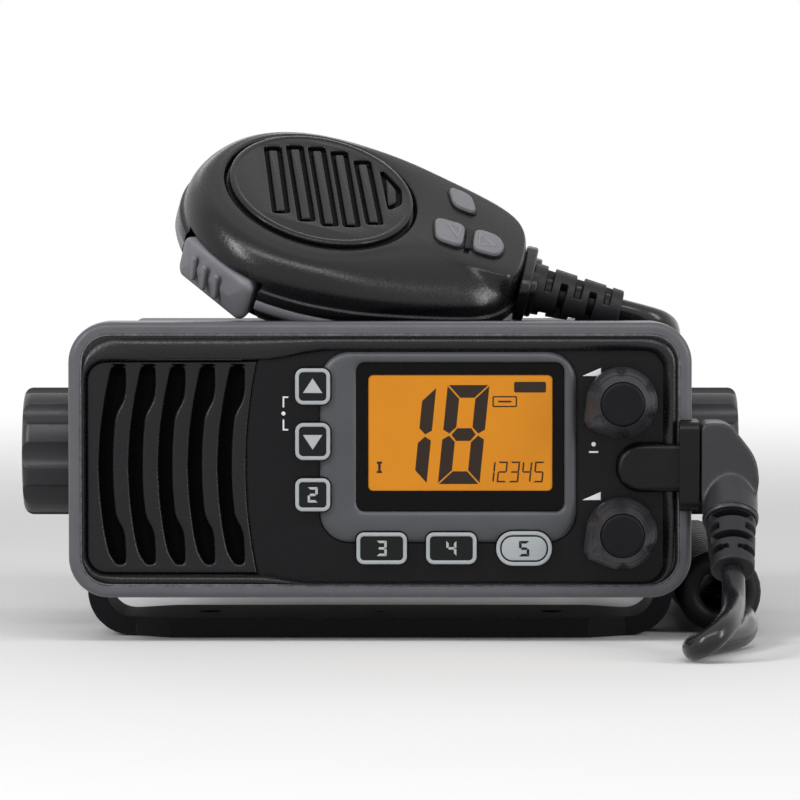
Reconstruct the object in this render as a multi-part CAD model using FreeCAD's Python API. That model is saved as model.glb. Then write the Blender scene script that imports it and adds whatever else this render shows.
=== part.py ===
import FreeCAD, Part
import math
import os
from FreeCAD import Placement, Rotation, Vector

# Marine radio on a tilting bracket, with a hand microphone lying on top.
# Millimetres. X runs to the right, Y to the back and Z up. The origin is the centre
# of the bracket's bolt row on its underside, straight below the tilt axis.
# Radio pieces are drawn about the tilt axis and lifted by tilt_height when saved.

# Radio front
panel_w = 153.0
panel_h = 67.8
panel_r = 10.0
panel_depth = 18.0
tilt_to_front = 37.0
tilt_height = 45.2
rim_w = 3.0
rim_depth = 6.0
wall = 3.3
ledge_w = 2.2
web_depth = 3.6
web_t = 2.0
face_depth = 1.6
fit_gap = 0.15
seal_t = 1.2

# Places across the panel are measured from its two ends
left_end = -panel_w / 2
right_end = panel_w / 2

# Speaker side
grille_x0 = left_end + 4.3
grille_z0 = -28.1
grille_z1 = 24.4
seam_x = right_end - 109.1
seam_r = 124.5
slot_pitch = 7.3
slot_x = grille_x0 + 6.3
slot_margin = 2.0
slot_top = 23.0
slot_bottom = -26.0
speaker_side = 6.5
speaker_gap = 2.0
magnet_inset = 9.0
speaker_open = 5.1

# Control side
control_x1 = right_end - 6.9
control_z0 = -30.1
control_z1 = 26.9
frame_box = (right_end - 91.4, right_end - 28.2, -20.4, 26.8)
window_box = (right_end - 82.3, right_end - 31.4, -12.6, 23.9)
lcd_box = (right_end - 79.5, right_end - 34.1, -7.7, 21.0)
frame_front = 0.5
knob_x = right_end - 17.3
volume_z = 14.2
squelch_z = -17.9
knob_r = 8.6
knob_cap_r = 5.3
knob_len = 10.0
knob_shaft_r = 3.0
key_travel = 0.8
key_gap = 0.2
keys = {
    "key_up": (right_end - 97.3, right_end - 88.7, 13.7, 22.6, 2.4),
    "key_down": (right_end - 97.3, right_end - 88.7, 0.1, 9.2, 2.4),
    "key_watch": (right_end - 97.3, right_end - 88.7, -12.5, -4.4, 2.0),
    "key_scan": (right_end - 82.3, right_end - 69.9, -25.5, -17.7, 2.0),
    "key_channel": (right_end - 65.2, right_end - 52.8, -25.5, -17.7, 2.0),
    "key_call": (right_end - 48.0, right_end - 34.3, -25.9, -17.4, 4.1),
}

plunger_inset = 1.5
mat_margin = 3.2
board_margin = 6.0
bushing_r = 4.5
pot_half = 6.5
pot_depth = 4.0
lobe_r = 9.7

# Microphone socket and plug
socket_x = right_end - 12.5
socket_z = -1.8
socket_r = 5.9
socket_front = -41.5
socket_back = -24.0
house_x = right_end - 3.2
house_below = 10.5
house_above = 11.5
plug_x = right_end + 1.8
plug_w = 14.8
plug_nose_r = 5.5
outlet_drop = 2.0
outlet_tilt = 48.2
barrel_r = 6.6
barrel_len = 15.0
boot_r = 6.2
boot_len = 14.6

# Chassis
chassis_inset = 10.5
chassis_h = 60.0
chassis_back = 92.0
chassis_wall = 3.0
fin_len = 6.0
fin_t = 2.0
fin_pitch = 5.5
board_t = 1.6
flange_t = 3.5
post_len = 7.0
gland_z = 0.0
antenna_x = -33.0
power_x = 18.0
power_r = 6.0
accessory_x = 36.0
accessory_r = 4.5

# Bracket and its knobs
bracket_t = 4.7
bracket_inset = 3.5
bracket_depth = 38.0
arm_depth = 26.0
taper_from = 21.0
taper_to = 12.0
bracket_r = 11.0
bolt_spacing = 86.0
bolt_hole_r = 2.8
pilot_hole_r = 1.1
mount_knob_r = 16.0
mount_knob_len = 16.0
stud_r = 2.5
stud_len = 22.0
thread_gap = 0.05
washer_t = 1.4
washer_r = 11.0

# Microphone, drawn flat about the centre of its grille and then set down tilted
mic_x = -15.3
mic_y = 3.6
mic_roll = 32.0
mic_pitch = 14.0
mic_head_r = 34.0
mic_tail_r = 12.5
mic_tail_u = 43.0
mic_end_u = 51.5
mic_split = 13.2
mic_depth = 28.0
mic_gasket_t = 1.0
mic_grille_r = 24.3
mic_slot_count = 7
button_u = 6.5
button_r = 8.0
button_len = 6.0
ptt_angle = 228.0
ptt_travel = 2.0
mic_key_travel = 0.8
mic_boot_len = 24.0
mic_collar_len = 5.0
mic_axis_w = -11.2
mic_face = -0.8
mic_mesh_w = -2.2
mic_cavity_r = 19.0
mic_rest = 33.9
ptt_inner = 24.0
ptt_half = 14.0
ptt_low = -19.5
ptt_high = -6.0
mic_key_top = 0.3
mic_keys = {
    "mic_key_power": (32.5, 39.0, 9.5, 14.0, 1.2),
    "mic_key_down": (30.0, 37.3, -5.5, 6.5, 3.0),
    "mic_key_up": (39.3, 46.6, -5.5, 6.5, 3.0),
}

# Microphone cord: the lead from the plug, the coil on the floor and the tail to the microphone
cord_d = 5.7
coil_d = 21.0
exit_run = 8.0
lead_route = [
    (85.6, -71.5, 10.9),
    (85.0, -82.5, 10.0),
    (82.2, -86.2, 7.9),
    (78.2, -86.2, 4.9),
    (75.4, -82.3, 3.0),
    (75.9, -74.5, 3.0),
    (79.0, -65.5, 3.0),
    (84.4, -56.5, 3.0),
    (88.9, -47.0, 3.2),
    (90.3, -36.5, 5.3),
    (90.3, -13.0, 5.3),
]
coil_route = [
    (84.8, -13.0, 10.6),
    (84.8, 22.0, 10.6),
    (83.2, 58.0, 10.6),
    (83.2, 98.0, 10.6),
]
tail_route = [
    (72.6, 15.0, 76.6),
    (74.0, 27.0, 73.8),
    (74.3, 42.0, 70.0),
    (74.4, 58.0, 65.3),
    (74.6, 74.5, 59.8),
    (74.9, 90.0, 54.0),
    (75.4, 104.5, 48.0),
    (75.9, 117.6, 40.2),
    (76.3, 124.4, 28.3),
    (76.6, 122.0, 14.8),
    (77.0, 111.5, 6.1),
    (77.0, 98.0, 6.1),
]
cord_break = 6

front_y = -tilt_to_front
face_y = front_y + face_depth
web_y = front_y + web_depth
web_back = web_y + web_t
board_y = web_back + 3.0
panel_back = front_y + panel_depth
seal_y = panel_back - seal_t - flange_t
half_w = panel_w / 2
half_h = panel_h / 2
side_x = half_w - chassis_inset
top_z = chassis_h / 2
washer_in = side_x + 0.8
arm_out = half_w - bracket_inset
arm_in = arm_out - bracket_t
knob_in = arm_out + 0.4
socket_y = (socket_front + socket_back) / 2
board_half_h = half_h - wall - ledge_w - 0.5
mat_x0 = keys["key_up"][0] - mat_margin
speaker_x = (left_end + speaker_side + mat_x0 - speaker_gap) / 2
speaker_r = (mat_x0 - speaker_gap - left_end - speaker_side) / 2
grille_mid = (grille_z0 + grille_z1) / 2
mesh_x0 = grille_x0 + 4.3
mesh_x1 = seam_x - 1.5
slot_count = int((seam_x - slot_margin - slot_x) / slot_pitch) + 1

X = Vector(1, 0, 0)
Y = Vector(0, 1, 0)
Z = Vector(0, 0, 1)

mic_place = Placement(Vector(mic_x, mic_y, tilt_height + top_z + mic_rest),
                      Rotation(Y, mic_pitch) * Rotation(X, mic_roll))
outlet_from = Vector(plug_x + plug_w / 2, socket_y, socket_z - outlet_drop)
outlet_dir = Vector(0, -math.cos(math.radians(outlet_tilt)), -math.sin(math.radians(outlet_tilt)))


def save(name, shape):
    """Write one solid as it stands."""
    solid = shape.removeSplitter()
    if len(solid.Solids) != 1 or not solid.isValid():
        print("CHECK", name, len(solid.Solids), solid.isValid())
    solid.exportStep("parts/" + name + ".step")


def save_radio(name, shape):
    """Write a piece that was drawn about the tilt axis."""
    save(name, shape.translated(Vector(0, 0, tilt_height)))


def plate(x0, x1, z0, z1, r, y0, y1):
    """Rounded rectangle seen from the front, as deep as y0 to y1."""
    corners = [(x1 - r, z1 - r), (x0 + r, z1 - r), (x0 + r, z0 + r), (x1 - r, z0 + r)]
    points = []
    for turn, (cx, cz) in enumerate(corners):
        for step in range(3):
            angle = math.radians(90 * turn + 45 * step)
            points.append(Vector(cx + r * math.cos(angle), y0, cz + r * math.sin(angle)))
    edges = []
    for turn in range(4):
        a, b, c = points[3 * turn:3 * turn + 3]
        nxt = points[(3 * turn + 3) % 12]
        edges.append(Part.Arc(a, b, c).toShape())
        if (nxt - c).Length > 0.01:
            edges.append(Part.LineSegment(c, nxt).toShape())
    return Part.Face(Part.Wire(edges)).extrude(Vector(0, y1 - y0, 0))


def panel_plate(inset, y0, y1):
    """The front panel's outline, moved in by inset."""
    return plate(-half_w + inset, half_w - inset, -half_h + inset, half_h - inset,
                 max(panel_r - inset, 1.5), y0, y1)


def block(x0, x1, y0, y1, z0, z1):
    return Part.makeBox(x1 - x0, y1 - y0, z1 - z0, Vector(x0, y0, z0))


def rod_y(x, z, r, y0, y1):
    return Part.makeCylinder(r, y1 - y0, Vector(x, y0, z), Y)


def rod_x(y, z, r, x0, x1):
    return Part.makeCylinder(r, x1 - x0, Vector(x0, y, z), X)


def edges_at(shape, axis, place):
    """Edges that lie in one plane across the named axis."""
    found = []
    for edge in shape.Edges:
        box = edge.BoundBox
        low = getattr(box, axis + "Min")
        high = getattr(box, axis + "Max")
        if abs(low - place) < 0.01 and abs(high - place) < 0.01:
            found.append(edge)
    return found


def soften(shape, radius, axis, place):
    return shape.makeFillet(radius, edges_at(shape, axis, place))


def grown(box, gap):
    return (box[0] - gap, box[1] + gap, box[2] - gap, box[3] + gap)


def key_plate(name, gap, y0, y1):
    x0, x1, z0, z1, r = keys[name]
    return plate(x0 - gap, x1 + gap, z0 - gap, z1 + gap, r + gap, y0, y1)


# Front panel


def insert_pocket(gap, y0, y1):
    """The room that the speaker grille and the control face fill together."""
    left = plate(grille_x0 - gap, 0, grille_z0 - gap, grille_z1 + gap, 5.0, y0, y1)
    right = plate(seam_x - 2, control_x1 + gap, control_z0 - gap, control_z1 + gap, 5.0, y0, y1)
    return left.fuse(right)


def front_panel():
    body = panel_plate(rim_w, front_y + 0.6, front_y + rim_depth)
    body = soften(body, 1.6, "Y", front_y + 0.6)
    body = body.fuse(panel_plate(0.3, front_y + rim_depth, panel_back))
    body = body.cut(insert_pocket(fit_gap, front_y, web_y))
    body = body.cut(panel_plate(wall + ledge_w, web_back, seal_y))
    body = body.cut(panel_plate(wall, seal_y, panel_back))
    for x in (mat_x0 - 3.5, lcd_box[1] + 8.1):
        for z in (-26.5, 26.5):
            body = body.fuse(rod_y(x, z, 2.4, web_back, board_y))
    body = body.cut(plate(mesh_x0 - 0.1, mesh_x1 + 0.1, grille_z0 + 5, grille_z1 - 5, 4, web_y, web_back))
    body = body.cut(plate(*lcd_box, 1.3, web_y, web_back))
    for name in keys:
        body = body.cut(key_plate(name, -plunger_inset + key_gap, web_y, web_back))
    for z in (volume_z, squelch_z):
        body = body.cut(rod_y(knob_x, z, bushing_r + 0.1, web_y, web_back))
    return body.cut(socket_shape(fit_gap))


def front_rim():
    ring = panel_plate(0, front_y, front_y + rim_depth)
    ring = soften(ring, 1.7, "Y", front_y)
    return ring.cut(panel_plate(rim_w - 0.1, front_y, front_y + rim_depth)).cut(socket_shape(fit_gap))


def front_seal():
    return panel_plate(wall + 0.3, seal_y, seal_y + seal_t).cut(panel_plate(wall + ledge_w, seal_y, seal_y + seal_t))


# Speaker


def seam(gap):
    return rod_y(seam_x + seam_r, grille_mid, seam_r + gap, front_y - 20, 0)


def grille_slot(shift):
    """One slot: a bowed left edge, and a right edge that steps in along the middle."""
    x = slot_x + shift
    mid = (slot_top + slot_bottom) / 2
    y = front_y

    def at(dx, z):
        return Vector(x + dx, y, z)

    edges = [
        Part.Arc(at(0, slot_top), at(-3.2, mid), at(0, slot_bottom)).toShape(),
        Part.LineSegment(at(0, slot_bottom), at(3.4, slot_bottom)).toShape(),
        Part.LineSegment(at(3.4, slot_bottom), at(3.0, slot_bottom + 8.5)).toShape(),
        Part.LineSegment(at(3.0, slot_bottom + 8.5), at(0.8, slot_bottom + 11.7)).toShape(),
        Part.Arc(at(0.8, slot_bottom + 11.7), at(0.1, mid), at(0.8, slot_top - 11.7)).toShape(),
        Part.LineSegment(at(0.8, slot_top - 11.7), at(3.0, slot_top - 8.5)).toShape(),
        Part.LineSegment(at(3.0, slot_top - 8.5), at(3.4, slot_top)).toShape(),
        Part.LineSegment(at(3.4, slot_top), at(0, slot_top)).toShape(),
    ]
    return Part.Face(Part.Wire(edges)).extrude(Vector(0, 8, 0))


def speaker_grille():
    body = plate(grille_x0, seam_x + 6, grille_z0, grille_z1, 5.0, face_y, web_y)
    body = body.cut(seam(0.1))
    body = body.makeFillet(0.5, edges_at(body, "Y", face_y))
    for k in range(slot_count):
        body = body.cut(grille_slot(k * slot_pitch))
    return body


def speaker_mesh():
    return plate(mesh_x0, mesh_x1, grille_z0 + speaker_open, grille_z1 - speaker_open, 3.9, web_y, web_y + 0.6)


def speaker_basket():
    z = grille_mid
    flange = rod_y(speaker_x, z, speaker_r, web_back, web_back + 1.5)
    cone = Part.makeCone(speaker_r - 2.5, speaker_r - magnet_inset - 2, 8, Vector(speaker_x, web_back + 1.5, z), Y)
    hollow = Part.makeCone(speaker_r - 3.5, speaker_r - magnet_inset - 4, 8.5, Vector(speaker_x, web_back, z), Y)
    return flange.fuse(cone).cut(hollow)


def speaker_magnet():
    return rod_y(speaker_x, grille_mid, speaker_r - magnet_inset, web_back + 9.5, web_back + 16.5)


# Control side


def control_face():
    body = plate(seam_x - 4, control_x1, control_z0, control_z1, 5.0, face_y, web_y)
    body = body.common(seam(-0.1))
    body = body.cut(plate(*grown(frame_box, 0.1), 7.6, face_y, web_y))
    for name in keys:
        body = body.cut(key_plate(name, key_gap, face_y, web_y))
    for z in (volume_z, squelch_z):
        body = body.cut(rod_y(knob_x, z, bushing_r + 0.1, face_y, web_y))
    return body.cut(socket_shape(fit_gap))


def display_frame():
    body = plate(*frame_box, 7.5, front_y + frame_front, web_y)
    body = soften(body, 1.0, "Y", front_y + frame_front)
    body = body.cut(plate(*window_box, 2.0, front_y, web_y))
    for name in keys:
        body = body.cut(key_plate(name, key_gap, front_y, web_y))
    return body


def display_window():
    body = plate(*grown(window_box, -0.1), 1.9, front_y + 1.0, web_y)
    return body.cut(plate(*lcd_box, 1.3, front_y, web_y))


def lcd_panel():
    return plate(*grown(lcd_box, -0.1), 1.2, front_y + 1.3, board_y)


def key(name):
    cap = key_plate(name, 0, front_y + frame_front - 1.4, web_y - key_travel - 0.1)
    cap = soften(cap, 0.6, "Y", front_y + frame_front - 1.4)
    return cap.fuse(key_plate(name, -plunger_inset, web_y - key_travel - 0.1, web_back + 0.2))


def keypad_mat():
    body = plate(mat_x0, lcd_box[1] + 4.6, -board_half_h, volume_z + 10.8, 2, web_back + key_travel + 0.3, board_y)
    return body.cut(plate(*grown(lcd_box, 0.3), 1.6, web_back, board_y))


def control_board():
    body = block(mat_x0 - board_margin, control_x1 - 1.6, board_y, board_y + board_t, -board_half_h, board_half_h)
    for z in (volume_z, squelch_z):
        body = body.cut(rod_y(knob_x, z, bushing_r + 0.1, board_y, board_y + board_t))
    return body.cut(rod_y(speaker_x, grille_mid, speaker_r + 0.3, board_y, board_y + board_t))


def knob(z):
    """A dimpled skirt with a pointer lobe at eight o'clock and a bevelled front."""
    back = face_y - 0.6
    front = back - knob_len
    skirt = Part.makeCone(knob_r, knob_r - 0.5, knob_len - 3, Vector(knob_x, back, z), -Y)
    bevel = Part.makeCone(knob_r - 0.5, knob_cap_r + 0.9, 3, Vector(knob_x, back - knob_len + 3, z), -Y)
    body = skirt.fuse(bevel)
    for k in range(6):
        angle = math.radians(214 + 60 * (k + 0.5))
        body = body.cut(rod_y(knob_x + 10.3 * math.cos(angle), z + 10.3 * math.sin(angle), 2.5, front - 1, back + 1))
    lobe = block(knob_x, knob_x + lobe_r, back - 6, back, z - 1.4, z + 1.4)
    lobe = lobe.makeFillet(0.8, [e for e in lobe.Edges if abs(e.BoundBox.XMin - knob_x - lobe_r) < 0.01 and e.BoundBox.YLength > 1])
    lobe.rotate(Vector(knob_x, 0, z), Y, -214)
    body = body.fuse(lobe)
    body = body.cut(rod_y(knob_x, z, knob_cap_r, front - 1, front + 1.2))
    return body.cut(rod_y(knob_x, z, knob_shaft_r, front + 3, back))


def knob_cap(z):
    front = face_y - 0.6 - knob_len
    cap = rod_y(knob_x, z, knob_cap_r, front - 0.9, front + 1.2)
    return soften(cap, 0.7, "Y", front - 0.9)


def knob_shaft(z):
    front = face_y - 0.6 - knob_len
    return rod_y(knob_x, z, knob_shaft_r, front + 3, board_y + board_t + 3)


def knob_pot(z):
    y = board_y + board_t
    body = block(knob_x - pot_half, knob_x + pot_half, y, y + pot_depth, z - pot_half, z + pot_half)
    body = body.fuse(rod_y(knob_x, z, bushing_r, web_y, y))
    return body.cut(rod_y(knob_x, z, knob_shaft_r + thread_gap, web_y, y + 3.1))


# Microphone socket on the panel's right edge, with its plug


def socket_shape(gap):
    """Bullet-shaped pod on the face, running out to a raised housing past the edge."""
    r = socket_r + gap
    pod = rod_y(socket_x, socket_z, r, socket_front + 1.5, web_back)
    pod = pod.fuse(block(socket_x, house_x + 2, socket_front + 1.5, web_back, socket_z - r, socket_z + r))
    house = block(house_x - gap, plug_x - 0.2 + gap, socket_front - gap, socket_back + gap,
                  socket_z - house_below - gap, socket_z + house_above + gap)
    return pod.fuse(house)


def mic_socket():
    pod = rod_y(socket_x, socket_z, socket_r, socket_front + 1.5, web_back)
    pod = pod.fuse(block(socket_x, house_x + 2, socket_front + 1.5, web_back,
                         socket_z - socket_r, socket_z + socket_r)).removeSplitter()
    pod = soften(pod, 1.4, "Y", socket_front + 1.5)
    house = block(house_x, plug_x - 0.2, socket_front, socket_back,
                  socket_z - house_below, socket_z + house_above)
    house = house.makeFillet(2.6, [e for e in house.Edges if e.BoundBox.XLength > 1])
    return pod.fuse(house).cut(rod_x(socket_y, socket_z, plug_nose_r + 0.1, house_x + 0.3, plug_x))


def slotted_boot(start, way, r0, r1, length, count):
    """Tapered strain relief, slotted in turn from the sides and from front and back."""
    boot = Part.makeCone(r0, r1, length, start, way)
    boot = boot.fuse(Part.makeCylinder(r1 + 0.7, 2.4, start + way * (length - 2.4), way))
    side = way.cross(X)
    if side.Length < 0.5:
        side = Y
    side.normalize()
    step = (length - 4.4) / count
    for k in range(count):
        centre = start + way * (1.8 + step * (k + 0.2))
        across = side if k % 2 else way.cross(side)
        for sign in (-1, 1):
            out = across * sign
            slot = Part.makeBox(9, 14, step * 0.45, Vector(cord_d / 2 + 0.6, -7, 0))
            slot.Placement = Placement(centre, Rotation(out, way.cross(out), way, "ZXY"))
            boot = boot.cut(slot)
    return boot


def plug_elbow():
    x1 = plug_x + plug_w
    body = block(plug_x, x1, socket_front, socket_back, socket_z - house_below, socket_z + house_above)
    body = body.makeFillet(5.0, edges_at(body, "X", x1))
    barrel = Part.makeCylinder(barrel_r, barrel_len, outlet_from, outlet_dir)
    body = body.fuse(barrel)
    return body.fuse(rod_x(socket_y, socket_z, plug_nose_r, house_x + 0.5, plug_x))


def plug_boot():
    return slotted_boot(outlet_from + outlet_dir * barrel_len, outlet_dir, boot_r, boot_r - 0.8, boot_len, 3)


# Chassis


def chassis():
    y0 = seal_y + seal_t
    body = block(-side_x, side_x, panel_back, chassis_back, -top_z, top_z)
    body = body.makeFillet(2.5, [e for e in body.Edges if e.BoundBox.YLength > 50])
    body = body.fuse(panel_plate(wall + 0.3, y0, panel_back))
    fins = int((2 * side_x - 8) / fin_pitch)
    for k in range(fins + 1):
        x = -side_x + 4 + k * fin_pitch
        if not (-48 < x < -18 or 8 < x < 46):
            body = body.fuse(block(x - fin_t / 2, x + fin_t / 2, chassis_back, chassis_back + fin_len,
                                   -top_z + 2, top_z - 2))
    w = chassis_wall
    body = body.cut(block(-side_x + w, side_x - w, y0, chassis_back - w, -top_z + w, top_z - w))
    for side in (-1, 1):
        lo, hi = sorted((side * (side_x - 10), side * (washer_in)))
        body = body.fuse(rod_x(0, 0, 6.5, lo, hi))
        body = body.cut(rod_x(0, 0, stud_r + thread_gap, lo - 1, hi + 1))
    for x in (16 - side_x, side_x - 16):
        for y in (0, chassis_back - 14):
            body = body.fuse(Part.makeCylinder(3, post_len, Vector(x, y, -top_z + w), Z))
    body = body.cut(rod_y(antenna_x, gland_z, 6.6, chassis_back - 5, chassis_back + 1))
    body = body.cut(rod_y(power_x, gland_z, power_r + 0.1, chassis_back - 5, chassis_back + 1))
    return body.cut(rod_y(accessory_x, gland_z, accessory_r + 0.1, chassis_back - 5, chassis_back + 1))


def main_board():
    z = -top_z + chassis_wall + post_len
    return block(8 - side_x, side_x - 8, -12, chassis_back - 8, z, z + board_t)


def antenna_socket():
    y = chassis_back
    body = rod_y(antenna_x, gland_z, 6.5, y - chassis_wall - 2, y)
    body = body.fuse(plate(antenna_x - 12.5, antenna_x + 12.5, gland_z - 12.5, gland_z + 12.5, 2, y, y + 2))
    body = body.fuse(rod_y(antenna_x, gland_z, 7.9, y + 2, y + 16))
    return body.cut(rod_y(antenna_x, gland_z, 6.0, y + fin_len + 1, y + 17))


def gland(x, r, bore):
    y = chassis_back
    body = rod_y(x, gland_z, r, y - chassis_wall - 1.5, y)
    body = body.fuse(rod_y(x, gland_z, r + 1.8, y, y + 2))
    body = body.fuse(Part.makeCone(r, r - 1.4, 8, Vector(x, y + 2, gland_z), Y))
    return body.cut(rod_y(x, gland_z, bore, y - 6, y + 11))


# Bracket and mount knobs


def bracket():
    """One U-shaped strip with rounded shoulders. Its arms are narrower than its base, which leaves
    the front panel room to tilt, and they are rounded about the tilt axis."""
    arm_top = tilt_height + arm_depth / 2
    y0 = -bracket_depth / 2
    outer = block(-arm_out, arm_out, y0, -y0, 0, arm_top)
    outer = outer.makeFillet(bracket_r, [e for e in edges_at(outer, "Z", 0) if e.BoundBox.YLength > 10])
    inner = block(-arm_in, arm_in, y0, -y0, bracket_t, arm_top)
    inner = inner.makeFillet(bracket_r - bracket_t,
                             [e for e in edges_at(inner, "Z", bracket_t) if e.BoundBox.YLength > 10])
    body = outer.cut(inner)
    for sx in (-1, 1):
        for sy in (-1, 1):
            outline = [Vector(sx * x, sy * y, -1) for x, y in (
                (arm_out - taper_from, bracket_depth / 2), (arm_out - taper_to, arm_depth / 2),
                (arm_out + 1, arm_depth / 2), (arm_out + 1, bracket_depth / 2 + 1),
                (arm_out - taper_from, bracket_depth / 2 + 1))]
            side = Part.Face(Part.makePolygon(outline + outline[:1]))
            body = body.cut(side.extrude(Vector(0, 0, arm_top + 2)))
    body = body.makeFillet(arm_depth / 2 - 0.5, [e for e in edges_at(body, "Z", arm_top)
                                                     if e.BoundBox.XLength < 10 and e.BoundBox.YLength < 1])
    body = body.cut(rod_x(0, tilt_height, stud_r + 0.3, -arm_out - 1, arm_out + 1))
    for x in (-bolt_spacing / 2, bolt_spacing / 2):
        body = body.cut(Part.makeCylinder(bolt_hole_r, bracket_t + 2, Vector(x, 0, -1), Z))
    return body.cut(Part.makeCylinder(pilot_hole_r, bracket_t + 2, Vector(0, 0, -1), Z))


def mirrored(shape, side):
    if side > 0:
        return shape
    return shape.mirror(Vector(0, 0, 0), X)


def mount_knob():
    x0 = knob_in
    x1 = x0 + mount_knob_len
    body = rod_x(0, 0, mount_knob_r, x0, x1)
    body = body.makeFillet(2.2, edges_at(body, "X", x1))
    for k in range(9):
        angle = math.radians(40 * k + 20)
        place = mount_knob_r + 3.2
        body = body.cut(rod_x(place * math.cos(angle), place * math.sin(angle), 4.8, x0 + 3, x1 + 1))
    body = body.cut(rod_x(0, 0, 9, x0, x0 + 1))
    return body.cut(rod_x(0, 0, stud_r, x0, x0 + 8))


def mount_stud():
    x1 = knob_in + 8
    return rod_x(0, 0, stud_r, x1 - stud_len, x1)


def friction_washer():
    return rod_x(0, 0, washer_r, washer_in, washer_in + washer_t).cut(rod_x(0, 0, stud_r + 0.3, 0, arm_out))


# Microphone, drawn flat: the head is round about the origin and the tail points along X


def mic_outline(head_r, tail_r, tail_u, w):
    """A head circle and a tail circle joined by their two outer tangents."""
    lean = (head_r - tail_r) / tail_u
    up = math.sqrt(1 - lean * lean)
    head_a = Vector(head_r * lean, head_r * up, w)
    head_b = Vector(head_r * lean, -head_r * up, w)
    tail_a = Vector(tail_u + tail_r * lean, tail_r * up, w)
    tail_b = Vector(tail_u + tail_r * lean, -tail_r * up, w)
    return Part.Wire([
        Part.Arc(head_a, Vector(-head_r, 0, w), head_b).toShape(),
        Part.LineSegment(head_b, tail_b).toShape(),
        Part.Arc(tail_b, Vector(tail_u + tail_r, 0, w), tail_a).toShape(),
        Part.LineSegment(tail_a, head_a).toShape(),
    ])


def mic_slab(head_r, tail_r, tail_u, w0, w1):
    return Part.Face(mic_outline(head_r, tail_r, tail_u, w0)).extrude(Vector(0, 0, w1 - w0))


def mic_body_slab(w0, w1, grow=0.0):
    return mic_slab(mic_head_r + grow, mic_tail_r + grow, mic_tail_u, w0, w1)


def mic_cavity(w0, w1):
    return mic_slab(mic_cavity_r, mic_tail_r - 5, mic_tail_u - 3, w0, w1)


def tail_cut():
    return block(mic_end_u, mic_end_u + 40, -40, 40, -60, 10)


def ptt_block(inner, across, low, high):
    """A block at the head's lower side, turned to face out along the thumb button's way."""
    shape = block(inner, mic_head_r + 3, -across, across, low, high)
    shape.rotate(Vector(0, 0, 0), Z, ptt_angle)
    return shape


def ptt_pocket():
    return ptt_block(ptt_inner - ptt_travel - 0.4, ptt_half + 0.2, ptt_low - 0.2, ptt_high + 0.2)


def ptt_button():
    """A rubber pad with three finger ribs, curved with the head and tapered like the rear shell."""
    round_part = Part.makeCylinder(mic_head_r + 1.0, mic_split + 1, Vector(0, 0, -mic_split - 1), Z)
    taper = Part.makeCone(mic_head_r - 5.0, mic_head_r + 1.0, 7.3, Vector(0, 0, -mic_split - 8.3), Z)
    body = ptt_block(ptt_inner, ptt_half, ptt_low, ptt_high).common(round_part.fuse(taper))
    for k in (-1, 0, 1):
        rib = block(mic_head_r - 4, mic_head_r + 1.7, 4.4 * k - 0.9, 4.4 * k + 0.9, ptt_low + 4.5, ptt_high - 2)
        rib = rib.makeFillet(0.6, edges_at(rib, "X", mic_head_r + 1.7))
        rib.rotate(Vector(0, 0, 0), Z, ptt_angle)
        body = body.fuse(rib)
    return body


def mic_key_shape(name, gap, w0, w1):
    """A rounded key seen from above, as deep as w0 to w1."""
    u0, u1, v0, v1, r = mic_keys[name]
    flat = plate(u0 - gap, u1 + gap, v0 - gap, v1 + gap, r, -w1, -w0)
    flat.rotate(Vector(0, 0, 0), X, -90)
    return flat


def mic_key(name):
    cap = mic_key_shape(name, 0, -3.2, mic_key_top)
    return soften(cap, 0.7, "Z", mic_key_top)


def mic_front_shell():
    body = mic_body_slab(-mic_split, mic_face)
    body = soften(body, 6.5, "Z", mic_face)
    body = body.cut(Part.makeCylinder(mic_grille_r + 0.1, 10, Vector(0, 0, mic_mesh_w), Z))
    body = body.cut(mic_cavity(-mic_split, -5.0))
    for name in mic_keys:
        body = body.cut(mic_key_shape(name, key_gap, -3.2 - mic_key_travel - 0.2, 5))
    return body.cut(ptt_pocket()).cut(tail_cut())


def mic_rear_shell():
    """The back narrows in two steps, so that the head is deeper than the tail."""
    low = -mic_split - mic_gasket_t
    wires = [
        mic_outline(mic_head_r, mic_tail_r, mic_tail_u, low),
        mic_outline(mic_head_r - 6, mic_tail_r - 4.5, mic_tail_u - 1, -mic_depth + 6.5),
        mic_outline(mic_head_r - 21, mic_tail_r - 7.5, mic_tail_u - 19, -mic_depth),
    ]
    body = Part.makeLoft(wires, True, True)
    body = body.cut(mic_cavity(-mic_depth + 8, low))
    for u, v in ((-10, 9), (-10, -9), (33, 0)):
        body = body.fuse(Part.makeCylinder(1.8, mic_depth - 8 - 9.4, Vector(u, v, -mic_depth + 8), Z))
    return body.cut(ptt_pocket()).cut(tail_cut())


def mic_gasket():
    body = mic_body_slab(-mic_split - mic_gasket_t, -mic_split, 0.2)
    body = body.cut(mic_cavity(-20, 0))
    return body.cut(ptt_pocket()).cut(tail_cut())


def mic_grille():
    """A round plate with long slots across it and a bare strip at the head's end."""
    body = Part.makeCylinder(mic_grille_r, -mic_mesh_w - 0.6, Vector(0, 0, mic_mesh_w + 0.6), Z)
    body = soften(body, 0.9, "Z", 0)
    for k in range(mic_slot_count):
        u = -11.5 + 5.2 * k
        half = math.sqrt((mic_grille_r - 4.5) ** 2 - u * u) - 1.4
        slot = block(u - 1.3, u + 1.3, -half, half, -4, 2)
        for end in (-half, half):
            slot = slot.fuse(Part.makeCylinder(1.3, 6, Vector(u, end, -4), Z))
        body = body.cut(slot)
    return body


def mic_mesh():
    return Part.makeCylinder(mic_grille_r - 1, 0.6, Vector(0, 0, mic_mesh_w), Z)


def mic_board():
    return mic_slab(mic_cavity_r - 0.4, mic_tail_r - 5.4, mic_tail_u - 3, -9.4, -9.4 + board_t)


def mic_capsule():
    return Part.makeCylinder(8.5, 2.6, Vector(0, 0, -9.4 + board_t), Z)


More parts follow.
